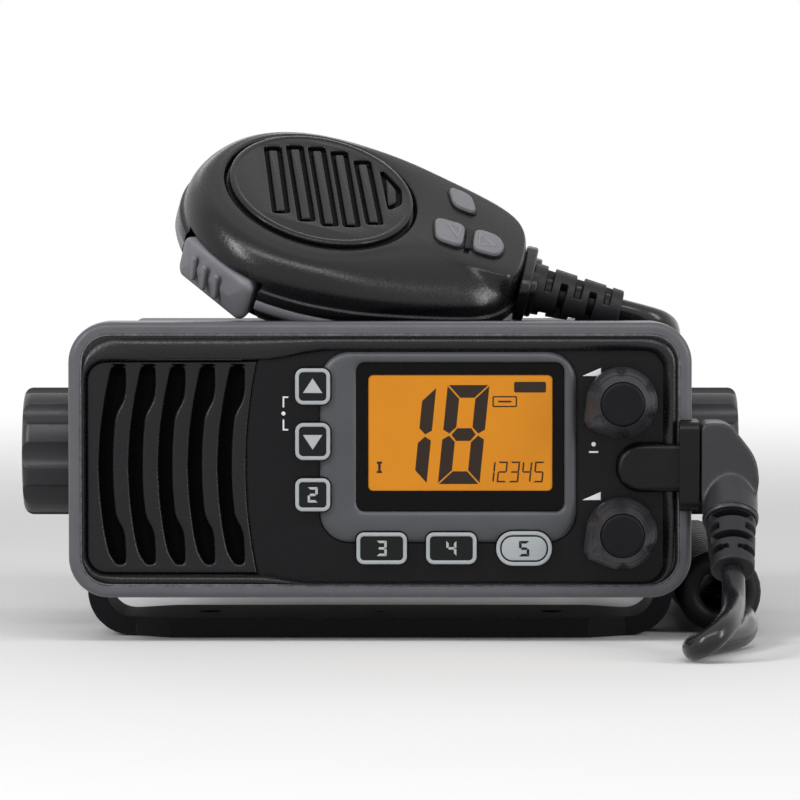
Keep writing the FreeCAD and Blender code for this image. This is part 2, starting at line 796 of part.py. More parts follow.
def mic_hanger_button():
    neck = Part.makeCylinder(4.5, button_len - 2.5, Vector(button_u, 0, -mic_depth - button_len + 2.5), Z)
    head = Part.makeCylinder(button_r, 2.5, Vector(button_u, 0, -mic_depth - button_len), Z)
    return neck.fuse(soften(head, 0.5, "Z", -mic_depth - button_len))


def mic_collar():
    big = rod_x(0, mic_axis_w, 9.2, mic_end_u, mic_end_u + 2.4)
    big = soften(big, 0.8, "X", mic_end_u + 2.4)
    small = rod_x(0, mic_axis_w, 7.8, mic_end_u + 2.4, mic_end_u + mic_collar_len)
    return big.fuse(small)


def mic_boot():
    start = Vector(mic_end_u + mic_collar_len, 0, mic_axis_w)
    return slotted_boot(start, X, boot_r, boot_r - 1.6, mic_boot_len, 5)


# Cord


def tube(points, r):
    """Straight runs joined by tangent arcs, each as large as its two runs allow."""
    edges = []
    radii = []
    last = points[0]
    for before, here, after in zip(points, points[1:], points[2:]):
        back = before - here
        ahead = after - here
        shorter = min(back.Length, ahead.Length)
        turn = math.pi - back.getAngle(ahead)
        radius = 0.45 * shorter / math.tan(turn / 2)
        back.normalize()
        ahead.normalize()
        start = here + back * (0.45 * shorter)
        end = here + ahead * (0.45 * shorter)
        inward = back + ahead
        inward.normalize()
        middle = here + inward * (radius / math.cos(turn / 2) - radius)
        edges.append(Part.LineSegment(last, start).toShape())
        edges.append(Part.Arc(start, middle, end).toShape())
        radii.append(round(radius, 1))
        last = end
    edges.append(Part.LineSegment(last, points[-1]).toShape())
    path = Part.Wire(edges)
    way = points[1] - points[0]
    ring = Part.Wire(Part.makeCircle(r, points[0], way))
    solid = path.makePipeShell([ring], True, True)
    section = math.pi * r * r
    print("cord length", round(path.Length, 1), "volume share", round(solid.Volume / (section * path.Length), 4))
    print("  radii", radii)
    return solid


def lead_points():
    start = outlet_from + outlet_dir * (barrel_len + boot_len) + Vector(0, 0, tilt_height)
    return [start, start + outlet_dir * exit_run] + [Vector(*p) for p in lead_route]


def tail_points():
    end_u = mic_end_u + mic_collar_len + mic_boot_len
    start = mic_place.multVec(Vector(end_u, 0, mic_axis_w))
    bend = mic_place.multVec(Vector(end_u + exit_run, 0, mic_axis_w))
    return [start, bend] + [Vector(*p) for p in tail_route]


def save_mic(name, shape):
    """Write a piece that was drawn flat, in its place on top of the radio."""
    shape = shape.copy()
    shape.Placement = mic_place.multiply(shape.Placement)
    save(name, shape)


def main():
    os.makedirs("parts", exist_ok=True)
    save_radio("front_panel", front_panel())
    save_radio("front_rim", front_rim())
    save_radio("front_seal", front_seal())
    save_radio("speaker_grille", speaker_grille())
    save_radio("speaker_mesh", speaker_mesh())
    save_radio("speaker_basket", speaker_basket())
    save_radio("speaker_magnet", speaker_magnet())
    save_radio("control_face", control_face())
    save_radio("display_frame", display_frame())
    save_radio("display_window", display_window())
    save_radio("lcd_panel", lcd_panel())
    save_radio("keypad_mat", keypad_mat())
    save_radio("control_board", control_board())
    for name in keys:
        save_radio(name, key(name))
    for side, z in (("volume", volume_z), ("squelch", squelch_z)):
        save_radio(side + "_knob", knob(z))
        save_radio(side + "_knob_cap", knob_cap(z))
        save_radio(side + "_shaft", knob_shaft(z))
        save_radio(side + "_pot", knob_pot(z))
    save_radio("mic_socket", mic_socket())
    save_radio("plug_elbow", plug_elbow())
    save_radio("plug_boot", plug_boot())
    save_radio("chassis", chassis())
    save_radio("main_board", main_board())
    save_radio("antenna_socket", antenna_socket())
    save_radio("power_gland", gland(power_x, power_r, 2.6))
    save_radio("accessory_gland", gland(accessory_x, accessory_r, 1.8))
    save("bracket", bracket())
    for side, sign in (("left", -1), ("right", 1)):
        save_radio(side + "_mount_knob", mirrored(mount_knob(), sign))
        save_radio(side + "_mount_stud", mirrored(mount_stud(), sign))
        save_radio(side + "_friction_washer", mirrored(friction_washer(), sign))
    save_mic("mic_front_shell", mic_front_shell())
    save_mic("mic_rear_shell", mic_rear_shell())
    save_mic("mic_gasket", mic_gasket())
    save_mic("mic_grille", mic_grille())
    save_mic("mic_mesh", mic_mesh())
    save_mic("mic_board", mic_board())
    save_mic("mic_capsule", mic_capsule())
    save_mic("mic_hanger_button", mic_hanger_button())
    save_mic("mic_collar", mic_collar())
    save_mic("mic_boot", mic_boot())
    save_mic("ptt_button", ptt_button())
    for name in mic_keys:
        save_mic(name, mic_key(name))
    save("cord_lead", tube(lead_points(), cord_d / 2))
    save("cord_coil", tube([Vector(*p) for p in coil_route], coil_d / 2))
    points = tail_points()
    middle = (points[cord_break] + points[cord_break + 1]) / 2
    save("cord_tail_upper", tube(points[:cord_break + 1] + [middle], cord_d / 2))
    save("cord_tail_lower", tube([middle] + points[cord_break + 1:], cord_d / 2))


main()
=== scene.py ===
import math

import bmesh
import bpy
from mathutils import Matrix, Vector


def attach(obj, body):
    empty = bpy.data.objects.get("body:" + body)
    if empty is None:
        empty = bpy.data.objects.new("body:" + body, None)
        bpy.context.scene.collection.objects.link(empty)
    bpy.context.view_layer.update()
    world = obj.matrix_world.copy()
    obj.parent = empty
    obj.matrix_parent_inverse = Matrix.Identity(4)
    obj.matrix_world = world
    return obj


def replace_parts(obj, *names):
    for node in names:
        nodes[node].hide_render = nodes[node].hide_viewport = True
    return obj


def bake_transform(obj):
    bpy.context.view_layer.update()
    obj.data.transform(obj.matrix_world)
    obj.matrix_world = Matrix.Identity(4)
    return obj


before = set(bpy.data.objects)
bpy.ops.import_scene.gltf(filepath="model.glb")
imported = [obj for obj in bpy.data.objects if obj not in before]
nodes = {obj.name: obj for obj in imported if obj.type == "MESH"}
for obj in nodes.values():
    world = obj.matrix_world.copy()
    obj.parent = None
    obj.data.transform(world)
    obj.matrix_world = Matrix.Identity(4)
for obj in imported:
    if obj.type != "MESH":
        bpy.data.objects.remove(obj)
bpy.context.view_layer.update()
scene = bpy.context.scene
scene.view_settings.view_transform = "Standard"

mm = 0.001
tilt_height = 45.2 * mm

# Camera: in front of the radio, a little above its face, far away as in a product photograph
view_target = Vector((4.9 * mm, -37 * mm, 60 * mm))
view_distance = 1.4
view_elevation = math.radians(3.0)
frame_width = 196.1 * mm
sensor_width = 36

camera_data = bpy.data.cameras.new("camera")
camera = bpy.data.objects.new("camera", camera_data)
scene.collection.objects.link(camera)
camera.location = view_target + view_distance * Vector(
    (0, -math.cos(view_elevation), math.sin(view_elevation))
)
camera.rotation_euler = (math.pi / 2 - view_elevation, 0, 0)
camera_data.sensor_width = sensor_width
camera_data.lens = sensor_width * view_distance / frame_width
scene.camera = camera


# Cords: each route is the solid's listed points, the lead's moved by up to 4 mm, read as a smooth line
cord_d = 5.7 * mm
cord_r = cord_d / 2
coil_ring_r = 7.65 * mm

lead_route = [
    (85.7, -52.48, 19.33), (85.7, -57.81, 13.37), (84.7, -70.5, 10.6), (82.6, -81.0, 8.8),
    (79.8, -85.8, 6.4), (76.6, -85.8, 4.2), (74.6, -81.4, 3.0), (75.6, -74.0, 3.0),
    (79.0, -65.5, 3.0), (84.4, -56.5, 3.0), (88.9, -47.0, 3.2), (90.3, -36.5, 5.3),
    (90.3, -13.0, 5.3),
]
coil_route = [(84.8, -13, 10.6), (84.8, 22, 10.6), (83.2, 58, 10.6), (83.2, 98, 10.6)]
tail_upper_route = [
    (60.51, 9.54, 80.41), (68.27, 9.54, 78.47), (72.6, 15.0, 76.6), (74.0, 27.0, 73.8),
    (74.3, 42.0, 70.0), (74.4, 58.0, 65.3), (74.6, 74.5, 59.8), (74.75, 82.25, 56.9),
]
tail_lower_route = [
    (74.75, 82.25, 56.9), (74.9, 90.0, 54.0), (75.4, 104.5, 48.0), (75.9, 117.6, 40.2),
    (76.3, 124.4, 28.3), (76.6, 122.0, 14.8), (77.0, 111.5, 6.1), (77.0, 98.0, 6.1),
]


def at(x, y, z):
    """A place given in millimetres."""
    return Vector((x * mm, y * mm, z * mm))


def curve_mesh(curve):
    """The mesh of a curve, which is then removed."""
    holder = bpy.data.objects.new(curve.name, curve)
    scene.collection.objects.link(holder)
    bpy.context.view_layer.update()
    mesh = bpy.data.meshes.new_from_object(holder)
    bpy.data.objects.remove(holder)
    bpy.data.curves.remove(curve)
    return mesh


def smooth_line(route):
    """The points along the route's NURBS spline, in metres."""
    curve = bpy.data.curves.new("route", "CURVE")
    curve.dimensions = "3D"
    spline = curve.splines.new("NURBS")
    spline.points.add(len(route) - 1)
    for point, place in zip(spline.points, route):
        point.co = (*at(*place), 1)
    spline.order_u = 3
    spline.use_endpoint_u = True
    spline.resolution_u = 16
    line = curve_mesh(curve)
    points = [v.co.copy() for v in line.vertices]
    bpy.data.meshes.remove(line)
    return points


def line_length(points):
    return sum((b - a).length for a, b in zip(points, points[1:]))


def frames_along(points):
    """A tangent and two normals at each point, which turn as little as possible from one to the next."""
    tangents = []
    for i in range(len(points)):
        a, b = points[max(i - 1, 0)], points[min(i + 1, len(points) - 1)]
        tangents.append((b - a).normalized())
    side = tangents[0].cross(Vector((0.3, 0.2, 1))).normalized()
    result = []
    for t in tangents:
        side = (side - t * side.dot(t)).normalized()
        result.append((t, side, t.cross(side)))
    return result


def add_mesh(name, bm, smooth=True, angle=35):
    """A mesh object from bm, shaded smooth below the angle."""
    mesh = bpy.data.meshes.new(name)
    bm.to_mesh(mesh)
    bm.free()
    if smooth:
        mesh.shade_smooth()
        mesh.set_sharp_from_angle(angle=math.radians(angle))
    piece = bpy.data.objects.new(name, mesh)
    scene.collection.objects.link(piece)
    return piece


def skin(bm, rings, caps=True):
    """Faces from each ring of vertices to the next, and over both ends."""
    for low, high in zip(rings, rings[1:]):
        for k in range(len(low)):
            n = (k + 1) % len(low)
            bm.faces.new((low[k], low[n], high[n], high[k]))
    if caps:
        bm.faces.new(list(reversed(rings[0])))
        bm.faces.new(rings[-1])


def face_outwards(bm):
    bmesh.ops.recalc_face_normals(bm, faces=bm.faces)


def tube(name, points, radius, sides=20):
    """A closed tube along the points."""
    bm = bmesh.new()
    rings = []
    for p, (_, side, up) in zip(points, frames_along(points)):
        rings.append([
            bm.verts.new(p + radius * (math.cos(a) * side + math.sin(a) * up))
            for a in (2 * math.pi * k / sides for k in range(sides))
        ])
    skin(bm, rings)
    return add_mesh(name, bm, angle=60)


def helix(axis_points, ring_r, pitch, start_angle, end_angle, ease):
    """The wire's line around the axis, wound evenly but for its eased ends, which run along the axis."""
    length = line_length(axis_points)
    samples, widest_step, longest_step = 2400, 2 * math.pi / 28, 0.5 * mm
    speed = []
    for i in range(samples + 1):
        s = length * i / samples
        ramp = min(s, length - s, ease) / ease
        speed.append(ramp * ramp * (3 - 2 * ramp))
    angle_at = [0.0]
    for a, b in zip(speed, speed[1:]):
        angle_at.append(angle_at[-1] + (a + b) / 2)
    turns = round(length / pitch - (end_angle - start_angle) / (2 * math.pi))
    total = 2 * math.pi * turns + end_angle - start_angle
    angle_at = [start_angle + total * a / angle_at[-1] for a in angle_at]
    frames = frames_along(axis_points)
    reach = [0.0]
    for a, b in zip(axis_points, axis_points[1:]):
        reach.append(reach[-1] + (b - a).length)
    points = []
    k = 0
    for i, angle in enumerate(angle_at):
        s = length * i / samples
        if points and i < samples and abs(angle - last_angle) < widest_step and s - last_s < longest_step:
            continue
        last_angle, last_s = angle, s
        while k < len(reach) - 2 and reach[k + 1] < s:
            k += 1
        share = (s - reach[k]) / (reach[k + 1] - reach[k])
        centre = axis_points[k].lerp(axis_points[k + 1], min(share, 1))
        tangent = frames[k][0].lerp(frames[k + 1][0], min(share, 1)).normalized()
        right = Vector((1, 0, 0))
        right = (right - tangent * right.dot(tangent)).normalized()
        up = right.cross(tangent)
        points.append(centre + ring_r * (math.cos(angle) * right + math.sin(angle) * up))
    return points


lead_line = smooth_line(lead_route)
lead_wire = tube("lead_wire", lead_line, cord_r, 24)
tail_upper_line = smooth_line(tail_upper_route)
tail_upper_wire = tube("tail_upper_wire", tail_upper_line, cord_r)
tail_lower_line = smooth_line(tail_lower_route)
tail_lower_wire = tube("tail_lower_wire", tail_lower_line, cord_r)
coil_line = helix(
    smooth_line(coil_route), coil_ring_r, pitch=6.0 * mm,
    start_angle=math.atan2(-5.3, 5.5), end_angle=math.atan2(-4.5, -6.2), ease=7 * mm,
)
coil_wire = tube("coil_wire", coil_line, cord_r, 18)

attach(coil_wire, "bracket")
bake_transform(lead_wire)
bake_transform(tail_lower_wire)
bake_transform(tail_upper_wire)


# Materials
def srgb(red, green, blue):
    """A colour written as on a screen, 0 to 255, as the linear one that shaders take."""
    def linear(v):
        v /= 255
        return v / 12.92 if v <= 0.04045 else ((v + 0.055) / 1.055) ** 2.4
    return (linear(red), linear(green), linear(blue), 1)


def scaled(colour, factor):
    return tuple(min(1, c * factor) for c in colour[:3]) + (1,)


def feed(tree, socket, value):
    """Link the socket to another node's, or set its value."""
    if isinstance(value, bpy.types.NodeSocket):
        tree.links.new(value, socket)
    else:
        socket.default_value = value


def add_node(tree, kind, inputs=None, **settings):
    """A node with its settings, and its inputs set or linked."""
    node = tree.nodes.new(kind)
    for key, value in settings.items():
        setattr(node, key, value)
    for key, value in (inputs or {}).items():
        feed(tree, node.inputs[key], value)
    return node


class Nodes:
    """A new material's node tree, with short calls for the nodes used here."""

    def __init__(self, name):
        self.material = bpy.data.materials.new(name)
        self.material.use_nodes = True
        self.tree = self.material.node_tree
        self.shader = self.tree.nodes["Principled BSDF"]
        self.place = self.new("ShaderNodeTexCoord").outputs["Object"]

    def new(self, kind, inputs=None, **settings):
        return add_node(self.tree, kind, inputs, **settings)

    def set(self, **values):
        """Values or links for the shader's inputs, with _ for a space in their names."""
        for key, value in values.items():
            feed(self.tree, self.shader.inputs[key.replace("_", " ")], value)

    def noise(self, size, detail=2.0, roughness=0.5, stretch=None):
        """Noise whose features are about size metres across."""
        place = self.place
        if stretch:
            place = self.new("ShaderNodeMapping", {"Scale": stretch, "Vector": place}).outputs["Vector"]
        inputs = {"Scale": 1 / size, "Detail": detail, "Roughness": roughness, "Vector": place}
        return self.new("ShaderNodeTexNoise", inputs).outputs["Fac"]

    def cells(self, size, feature="SMOOTH_F1"):
        inputs = {"Scale": 1 / size, "Vector": self.place}
        return self.new("ShaderNodeTexVoronoi", inputs, feature=feature).outputs["Distance"]

    def to_range(self, value, from_low, from_high, to_low, to_high, **settings):
        inputs = {"Value": value, "From Min": from_low, "From Max": from_high, "To Min": to_low, "To Max": to_high}
        return self.new("ShaderNodeMapRange", inputs, **settings).outputs["Result"]

    def math(self, operation, a, b):
        return self.new("ShaderNodeMath", {0: a, 1: b}, operation=operation).outputs[0]

    def blend(self, factor, a, b):
        return self.new("ShaderNodeMix", {"Factor": factor, 6: a, 7: b}, data_type="RGBA").outputs[2]

    def edge_mask(self, radius):
        """0 on flat ground and 1 at an edge, and the rounded normal."""
        rounded = self.new("ShaderNodeBevel", {"Radius": radius}, samples=4).outputs["Normal"]
        plain = self.new("ShaderNodeNewGeometry").outputs["Normal"]
        dot = self.new("ShaderNodeVectorMath", {0: rounded, 1: plain}, operation="DOT_PRODUCT")
        return self.to_range(dot.outputs["Value"], 0.995, 0.86, 0, 1), rounded

    def bump(self, height, depth, normal=None):
        inputs = {"Strength": 1, "Distance": depth, "Height": height}
        if normal is not None:
            inputs["Normal"] = normal
        return self.new("ShaderNodeBump", inputs).outputs["Normal"]


def finish(
    name, colour, roughness, metallic=0.0, specular=0.5, tone=0.10, tone_size=9, grain=None, pebble=None,
    brushed=None, edge=0.25, wear_and_highlight=0.0, wear_and_highlight_colour=None, roughness_spread=0.06,
):
    """A moulded, painted or cast surface: colour and gloss that vary a little, grain, and edges lightened partly as
    wear and partly as a painted highlight.

    Colours are as on a screen, sizes in millimetres. Grain and pebble are each a size and a depth.
    """
    n = Nodes(name)
    colour = srgb(*colour)
    broad = n.noise(tone_size * mm, detail=3, roughness=0.6)
    base = n.blend(n.to_range(broad, 0.3, 0.7, 0, 1), scaled(colour, 1 - tone), scaled(colour, 1 + tone))
    fine = n.noise(0.9 * mm, detail=2, roughness=0.6)
    gloss = n.to_range(fine, 0.3, 0.7, roughness - roughness_spread, roughness + roughness_spread)
    mask, normal = n.edge_mask(edge * mm)
    # Edges are lightened in patches: partly real wear, partly a painted highlight where edges catch the light
    if wear_and_highlight:
        patches = n.to_range(n.noise(1.7 * mm, detail=4, roughness=0.7), 0.42, 0.62, 0, wear_and_highlight)
        rubbed_and_lit_edges = n.math("MULTIPLY", mask, patches)
        base = n.blend(rubbed_and_lit_edges, base, srgb(*wear_and_highlight_colour) if wear_and_highlight_colour else scaled(colour, 3.5))
        gloss = n.math("SUBTRACT", gloss, n.math("MULTIPLY", rubbed_and_lit_edges, 0.12))
    if brushed:
        normal = n.bump(n.noise(0.35 * mm, detail=3, roughness=0.7, stretch=brushed), 0.012 * mm, normal)
    if pebble:
        normal = n.bump(n.cells(pebble[0] * mm), pebble[1] * mm, normal)
    if grain:
        normal = n.bump(n.noise(grain[0] * mm, detail=3, roughness=0.65), grain[1] * mm, normal)
    n.set(Metallic=metallic, Specular_IOR_Level=specular, Base_Color=base, Roughness=gloss, Normal=normal)
    return n.material


# The edge lightening set below is partly wear and partly a painted highlight on edges
panel_texture = dict(pebble=(0.6, 0.035), grain=(0.42, 0.035))
painted = dict(specular=0.35, tone=0.05, grain=(0.25, 0.006), wear_and_highlight=0.5, edge=0.4)
ink = dict(specular=0.3, grain=(0.15, 0.004))
jacket = dict(tone=0.08, tone_size=6, grain=(0.5, 0.008))


panel_black = finish("panel_black", (18, 18, 21), 0.27, specular=0.34, **panel_texture, wear_and_highlight=0.15)
face_black = finish("face_black", (11, 11, 14), 0.36, specular=0.17, **panel_texture, wear_and_highlight=0.1)
grille_black = finish("grille_black", (15, 15, 18), 0.27, specular=0.27, **panel_texture, wear_and_highlight=0.2, edge=0.2)
rim_grey = finish("rim_grey", (84, 84, 89), 0.36, wear_and_highlight_colour=(175, 175, 180), **painted)
frame_grey = finish("frame_grey", (70, 71, 75), 0.36, wear_and_highlight_colour=(170, 170, 175), **painted)
window_black = finish(
    "window_black", (5, 5, 6), 0.08, specular=0.1, tone=0.04, roughness_spread=0.02, grain=(6, 0.01), edge=0.2
)
lcd_amber = finish(
    "lcd_amber", (204, 130, 34), 0.32, specular=0.12, tone=0.035, tone_size=24, grain=(0.2, 0.002),
    roughness_spread=0.03
)
key_grey = finish("key_grey", (158, 163, 166), 0.42, specular=0.4, tone=0.05, grain=(0.22, 0.01), wear_and_highlight=0.3)
key_dark = finish("key_dark", (15, 16, 17), 0.45, specular=0.18, tone=0.08, grain=(0.22, 0.01))
mark_grey = finish("mark_grey", (168, 172, 174), 0.5, tone=0.04, **ink)
mark_white = finish("mark_white", (225, 226, 228), 0.5, tone=0.03, **ink)
segment_black = finish(
    "segment_black", (34, 20, 8), 0.35, specular=0.3, tone=0.08, tone_size=3, grain=(0.15, 0.002)
)
knob_black = finish(
    "knob_black", (44, 44, 48), 0.3, specular=0.35, pebble=(0.5, 0.03), wear_and_highlight=0.1, grain=(0.28, 0.03)
)
cap_black = finish("cap_black", (18, 18, 22), 0.45, specular=0.12, grain=(0.3, 0.012), wear_and_highlight=0.2)
pod_black = finish(
    "pod_black", (10, 10, 12), 0.3, specular=0.2, tone=0.06, grain=(0.3, 0.05), edge=0.4, wear_and_highlight=0.15
)
plug_black = finish("plug_black", (40, 40, 44), 0.34, specular=0.4, grain=(0.28, 0.05), edge=0.5, wear_and_highlight=0.25)
cord_black = finish("cord_black", (22, 22, 25), 0.24, specular=0.4, **jacket, roughness_spread=0.05)
coil_black = finish("coil_black", (20, 20, 23), 0.5, specular=0.15, **jacket)
rubber_black = finish("rubber_black", (24, 24, 27), 0.5, specular=0.3, grain=(0.25, 0.02), wear_and_highlight=0.15)
mount_black = finish("mount_black", (34, 34, 38), 0.34, specular=0.4, grain=(0.3, 0.04), edge=0.5, wear_and_highlight=0.3)
chassis_black = finish(
    "chassis_black", (26, 26, 29), 0.46, specular=0.3, pebble=(0.9, 0.03), grain=(0.35, 0.02),
    wear_and_highlight=0.4, wear_and_highlight_colour=(120, 120, 122)
)
bracket_black = finish(
    "bracket_black", (20, 20, 23), 0.6, specular=0.12, grain=(0.5, 0.015),
    wear_and_highlight=0.35, wear_and_highlight_colour=(120, 120, 122), edge=0.4
)
shade_black = finish("shade_black", (4, 4, 5), 0.9, specular=0.04, grain=(0.5, 0.03))
mesh_black = finish("mesh_black", (16, 16, 17), 0.7, specular=0.2, pebble=(0.5, 0.12))
steel = finish("steel", (178, 178, 180), 0.28, metallic=1.0, tone=0.06, brushed=(1, 14, 14), wear_and_highlight=0.2, edge=0.2)
nickel = finish(
    "nickel", (190, 188, 182), 0.22, metallic=1.0, tone=0.05, tone_size=4, grain=(0.4, 0.006), edge=0.2
)
fibre = finish("fibre", (70, 66, 62), 0.8, specular=0.2, grain=(0.4, 0.05))
mic_black = finish(
    "mic_black", (13, 13, 16), 0.25, specular=0.34, pebble=(0.6, 0.022), grain=(0.42, 0.025), wear_and_highlight=0.1, edge=0.4
)
mic_grey = finish(
    "mic_grey", (128, 128, 134), 0.48, specular=0.4, tone=0.06, grain=(0.25, 0.015), edge=0.4, wear_and_highlight=0.3
)
key_cap_grey = finish(
    "key_cap_grey", (122, 122, 126), 0.5, specular=0.35, tone=0.05, grain=(0.25, 0.02), edge=0.4
)
ptt_grey = finish("ptt_grey", (122, 121, 127), 0.55, specular=0.35, tone=0.06, pebble=(0.5, 0.02), edge=0.5)


def circuit_board(name):
    """Solder mask over traces that run along the board, with tinned pads."""
    n = Nodes(name)
    bricks = {"Scale": 1.0, "Brick Width": 9 * mm, "Row Height": 2.2 * mm, "Mortar Size": 0.35 * mm}
    tracks = n.new("ShaderNodeTexBrick", {**bricks, "Vector": n.place}).outputs["Fac"]
    mask = n.blend(tracks, srgb(22, 72, 44), srgb(40, 104, 62))
    pads = n.to_range(n.cells(2.5 * mm, feature="F1"), 0.16, 0.2, 1, 0)
    n.set(
        Base_Color=n.blend(pads, mask, srgb(190, 188, 180)),
        Roughness=n.to_range(pads, 0, 1, 0.4, 0.25), Normal=n.bump(n.math("ADD", pads, tracks), 0.03 * mm),
    )
    return n.material


board_green = circuit_board("board_green")

coats = {
    panel_black: ["front_panel"],
    face_black: ["control_face"],
    grille_black: ["speaker_grille"],
    rim_grey: ["front_rim"],
    frame_grey: ["display_frame"],
    window_black: ["display_window"],
    lcd_amber: ["lcd_panel"],
    key_dark: ["key_up", "key_down", "key_watch", "key_scan", "key_channel", "key_call"],
    knob_black: ["volume_knob", "squelch_knob"],
    cap_black: ["volume_knob_cap", "squelch_knob_cap"],
    pod_black: ["mic_socket"],
    plug_black: ["plug_elbow"],
    rubber_black: ["plug_boot", "front_seal", "keypad_mat", "mic_boot", "power_gland", "accessory_gland"],
    mount_black: ["left_mount_knob", "right_mount_knob"],
    chassis_black: ["chassis"],
    bracket_black: ["bracket"],
    mesh_black: ["speaker_mesh", "mic_mesh"],
    steel: ["left_mount_stud", "right_mount_stud", "volume_shaft", "squelch_shaft", "speaker_basket", "mic_capsule"],
    nickel: ["antenna_socket", "volume_pot", "squelch_pot"],
    fibre: ["left_friction_washer", "right_friction_washer", "speaker_magnet"],
    board_green: ["control_board", "main_board", "mic_board"],
    mic_black: ["mic_front_shell", "mic_rear_shell", "mic_grille", "mic_collar", "mic_hanger_button"],
    mic_grey: ["mic_gasket", "mic_key_power", "mic_key_down", "mic_key_up"],
    ptt_grey: ["ptt_button"],
}


def coat_with(piece, material):
    piece.data.materials.clear()
    piece.data.materials.append(material)


for material, names in coats.items():
    for name in names:
        coat_with(nodes[name], material)
for wire in (lead_wire, tail_upper_wire, tail_lower_wire, coil_wire):
    coat_with(wire, coil_black if wire is coil_wire else cord_black)


# Detail pieces, drawn flat in millimetres and then set on the radio's front or on the microphone's face
radio_front = Matrix.Translation((0, 0, tilt_height)) @ Matrix.Rotation(math.pi / 2, 4, "X")
mic_face = (
    Matrix.Translation((-15.3 * mm, 3.6 * mm, 109.1 * mm))
    @ Matrix.Rotation(math.radians(14), 4, "Y")
    @ Matrix.Rotation(math.radians(32), 4, "X")
)


def arc(cx, cy, r, start, end, count=8):
    """Points on an arc, with angles in degrees."""
    return [
        (cx + r * math.cos(math.radians(start + (end - start) * k / count)),
         cy + r * math.sin(math.radians(start + (end - start) * k / count)))
        for k in range(count + 1)
    ]


def circle(cx, cy, r, count):
    return arc(cx, cy, r, 0, 360, count)[:-1]


def rounded_box(x0, x1, y0, y1, r, count=6):
    return (
        arc(x1 - r, y1 - r, r, 0, 90, count) + arc(x0 + r, y1 - r, r, 90, 180, count)
        + arc(x0 + r, y0 + r, r, 180, 270, count) + arc(x1 - r, y0 + r, r, 270, 360, count)
    )


def inset_box(box, inset, r, count):
    x0, x1, y0, y1 = box
    return rounded_box(x0 + inset, x1 - inset, y0 + inset, y1 - inset, r, count)


def rounded_corners(points, r, count=5):
    """A polygon whose corners are cut to smooth bends that start r from each corner."""
    result = []
    for i, corner in enumerate(points):
        c = Vector(corner)
        before, after = Vector(points[i - 1]), Vector(points[(i + 1) % len(points)])
        reach = min(r, (before - c).length * 0.45, (after - c).length * 0.45)
        a = c + (before - c).normalized() * reach
        b = c + (after - c).normalized() * reach
        for k in range(count + 1):
            t = k / count
            result.append(tuple((1 - t) ** 2 * a + 2 * t * (1 - t) * c + t * t * b))
    return result


def plate_piece(name, outlines, low, high, place, material, body, slot, bevel=0.0, steps=2):
    """A flat piece with rounded edges. The first outline is its edge and the others are holes."""
    curve = bpy.data.curves.new(name, "CURVE")
    curve.dimensions = "2D"
    curve.fill_mode = "BOTH"
    for outline in outlines:
        spline = curve.splines.new("POLY")
        spline.points.add(len(outline) - 1)
        for point, (x, y) in zip(spline.points, outline):
            point.co = (x * mm, y * mm, 0, 1)
        spline.use_cyclic_u = True
    curve.extrude = max((high - low) / 2 - bevel, 0.001) * mm
    curve.bevel_depth = bevel * mm
    curve.bevel_resolution = steps
    curve.offset = -bevel * mm
    mesh = curve_mesh(curve)
    mesh.transform(place @ Matrix.Translation((0, 0, (low + high) / 2 * mm)))
    bm = bmesh.new()
    bm.from_mesh(mesh)
    bpy.data.meshes.remove(mesh)
    bmesh.ops.remove_doubles(bm, verts=bm.verts, dist=1e-6)
    piece = add_mesh(name, bm, angle=38)
    return dressed(piece, material, body)


def dressed(piece, material, body):
    coat_with(piece, material)
    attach(piece, body)
    return piece


def on_front(name, outlines, front, back, material, body="radio", slot="textured_black", **edge):
    return plate_piece(name, outlines, -back, -front, radio_front, material, body, slot, **edge)


def on_mic(name, outlines, low, high, material, body="microphone", slot="mic_black", **edge):
    return plate_piece(name, outlines, low, high, mic_face, material, body, slot, **edge)


def ray_hit(outline, cx, cy, angle):
    """How far out the ray from the centre meets the outline."""
    dx, dy = math.cos(angle), math.sin(angle)
    best = 0.0
    for (x0, y0), (x1, y1) in zip(outline, outline[1:] + outline[:1]):
        ex, ey = x1 - x0, y1 - y0
        det = dx * ey - dy * ex
        if abs(det) < 1e-12:
            continue
        px, py = x0 - cx, y0 - cy
        t, s = (px * ey - py * ex) / det, (px * dy - py * dx) / det
        if t > best and -1e-6 <= s <= 1 + 1e-6:
            best = t
    return best


def ring_piece(name, outer, inner, profile, place, material, body, count=360):
    """A band between two outlines whose height follows the profile's (share inwards, height) pairs."""
    xs, ys = [p[0] for p in outer], [p[1] for p in outer]
    cx, cy = (min(xs) + max(xs)) / 2, (min(ys) + max(ys)) / 2
    wide, tall = (max(xs) - min(xs)) / 2, (max(ys) - min(ys)) / 2
    bm = bmesh.new()
    rings = [[] for _ in profile]
    for k in range(count):
        turn = 2 * math.pi * k / count
        angle = math.atan2(tall * math.sin(turn), wide * math.cos(turn))
        far, near = ray_hit(outer, cx, cy, angle), ray_hit(inner, cx, cy, angle)
        for ring, (share, height) in zip(rings, profile):
            r = far + (near - far) * share
            ring.append(bm.verts.new(place @ at(cx + r * math.cos(angle), cy + r * math.sin(angle), height)))
    skin(bm, rings, caps=False)
    face_outwards(bm)
    return dressed(add_mesh(name, bm, angle=40), material, body)


# Front panel: a rounded shoulder between the rim and the recess of grille and control face
def s_curve(x0, y0, x1, y1, count=14):
    return [
        (x0 + (x1 - x0) * k / count, y0 + (y1 - y0) * (k / count) ** 2 * (3 - 2 * k / count))
        for k in range(count + 1)
    ]


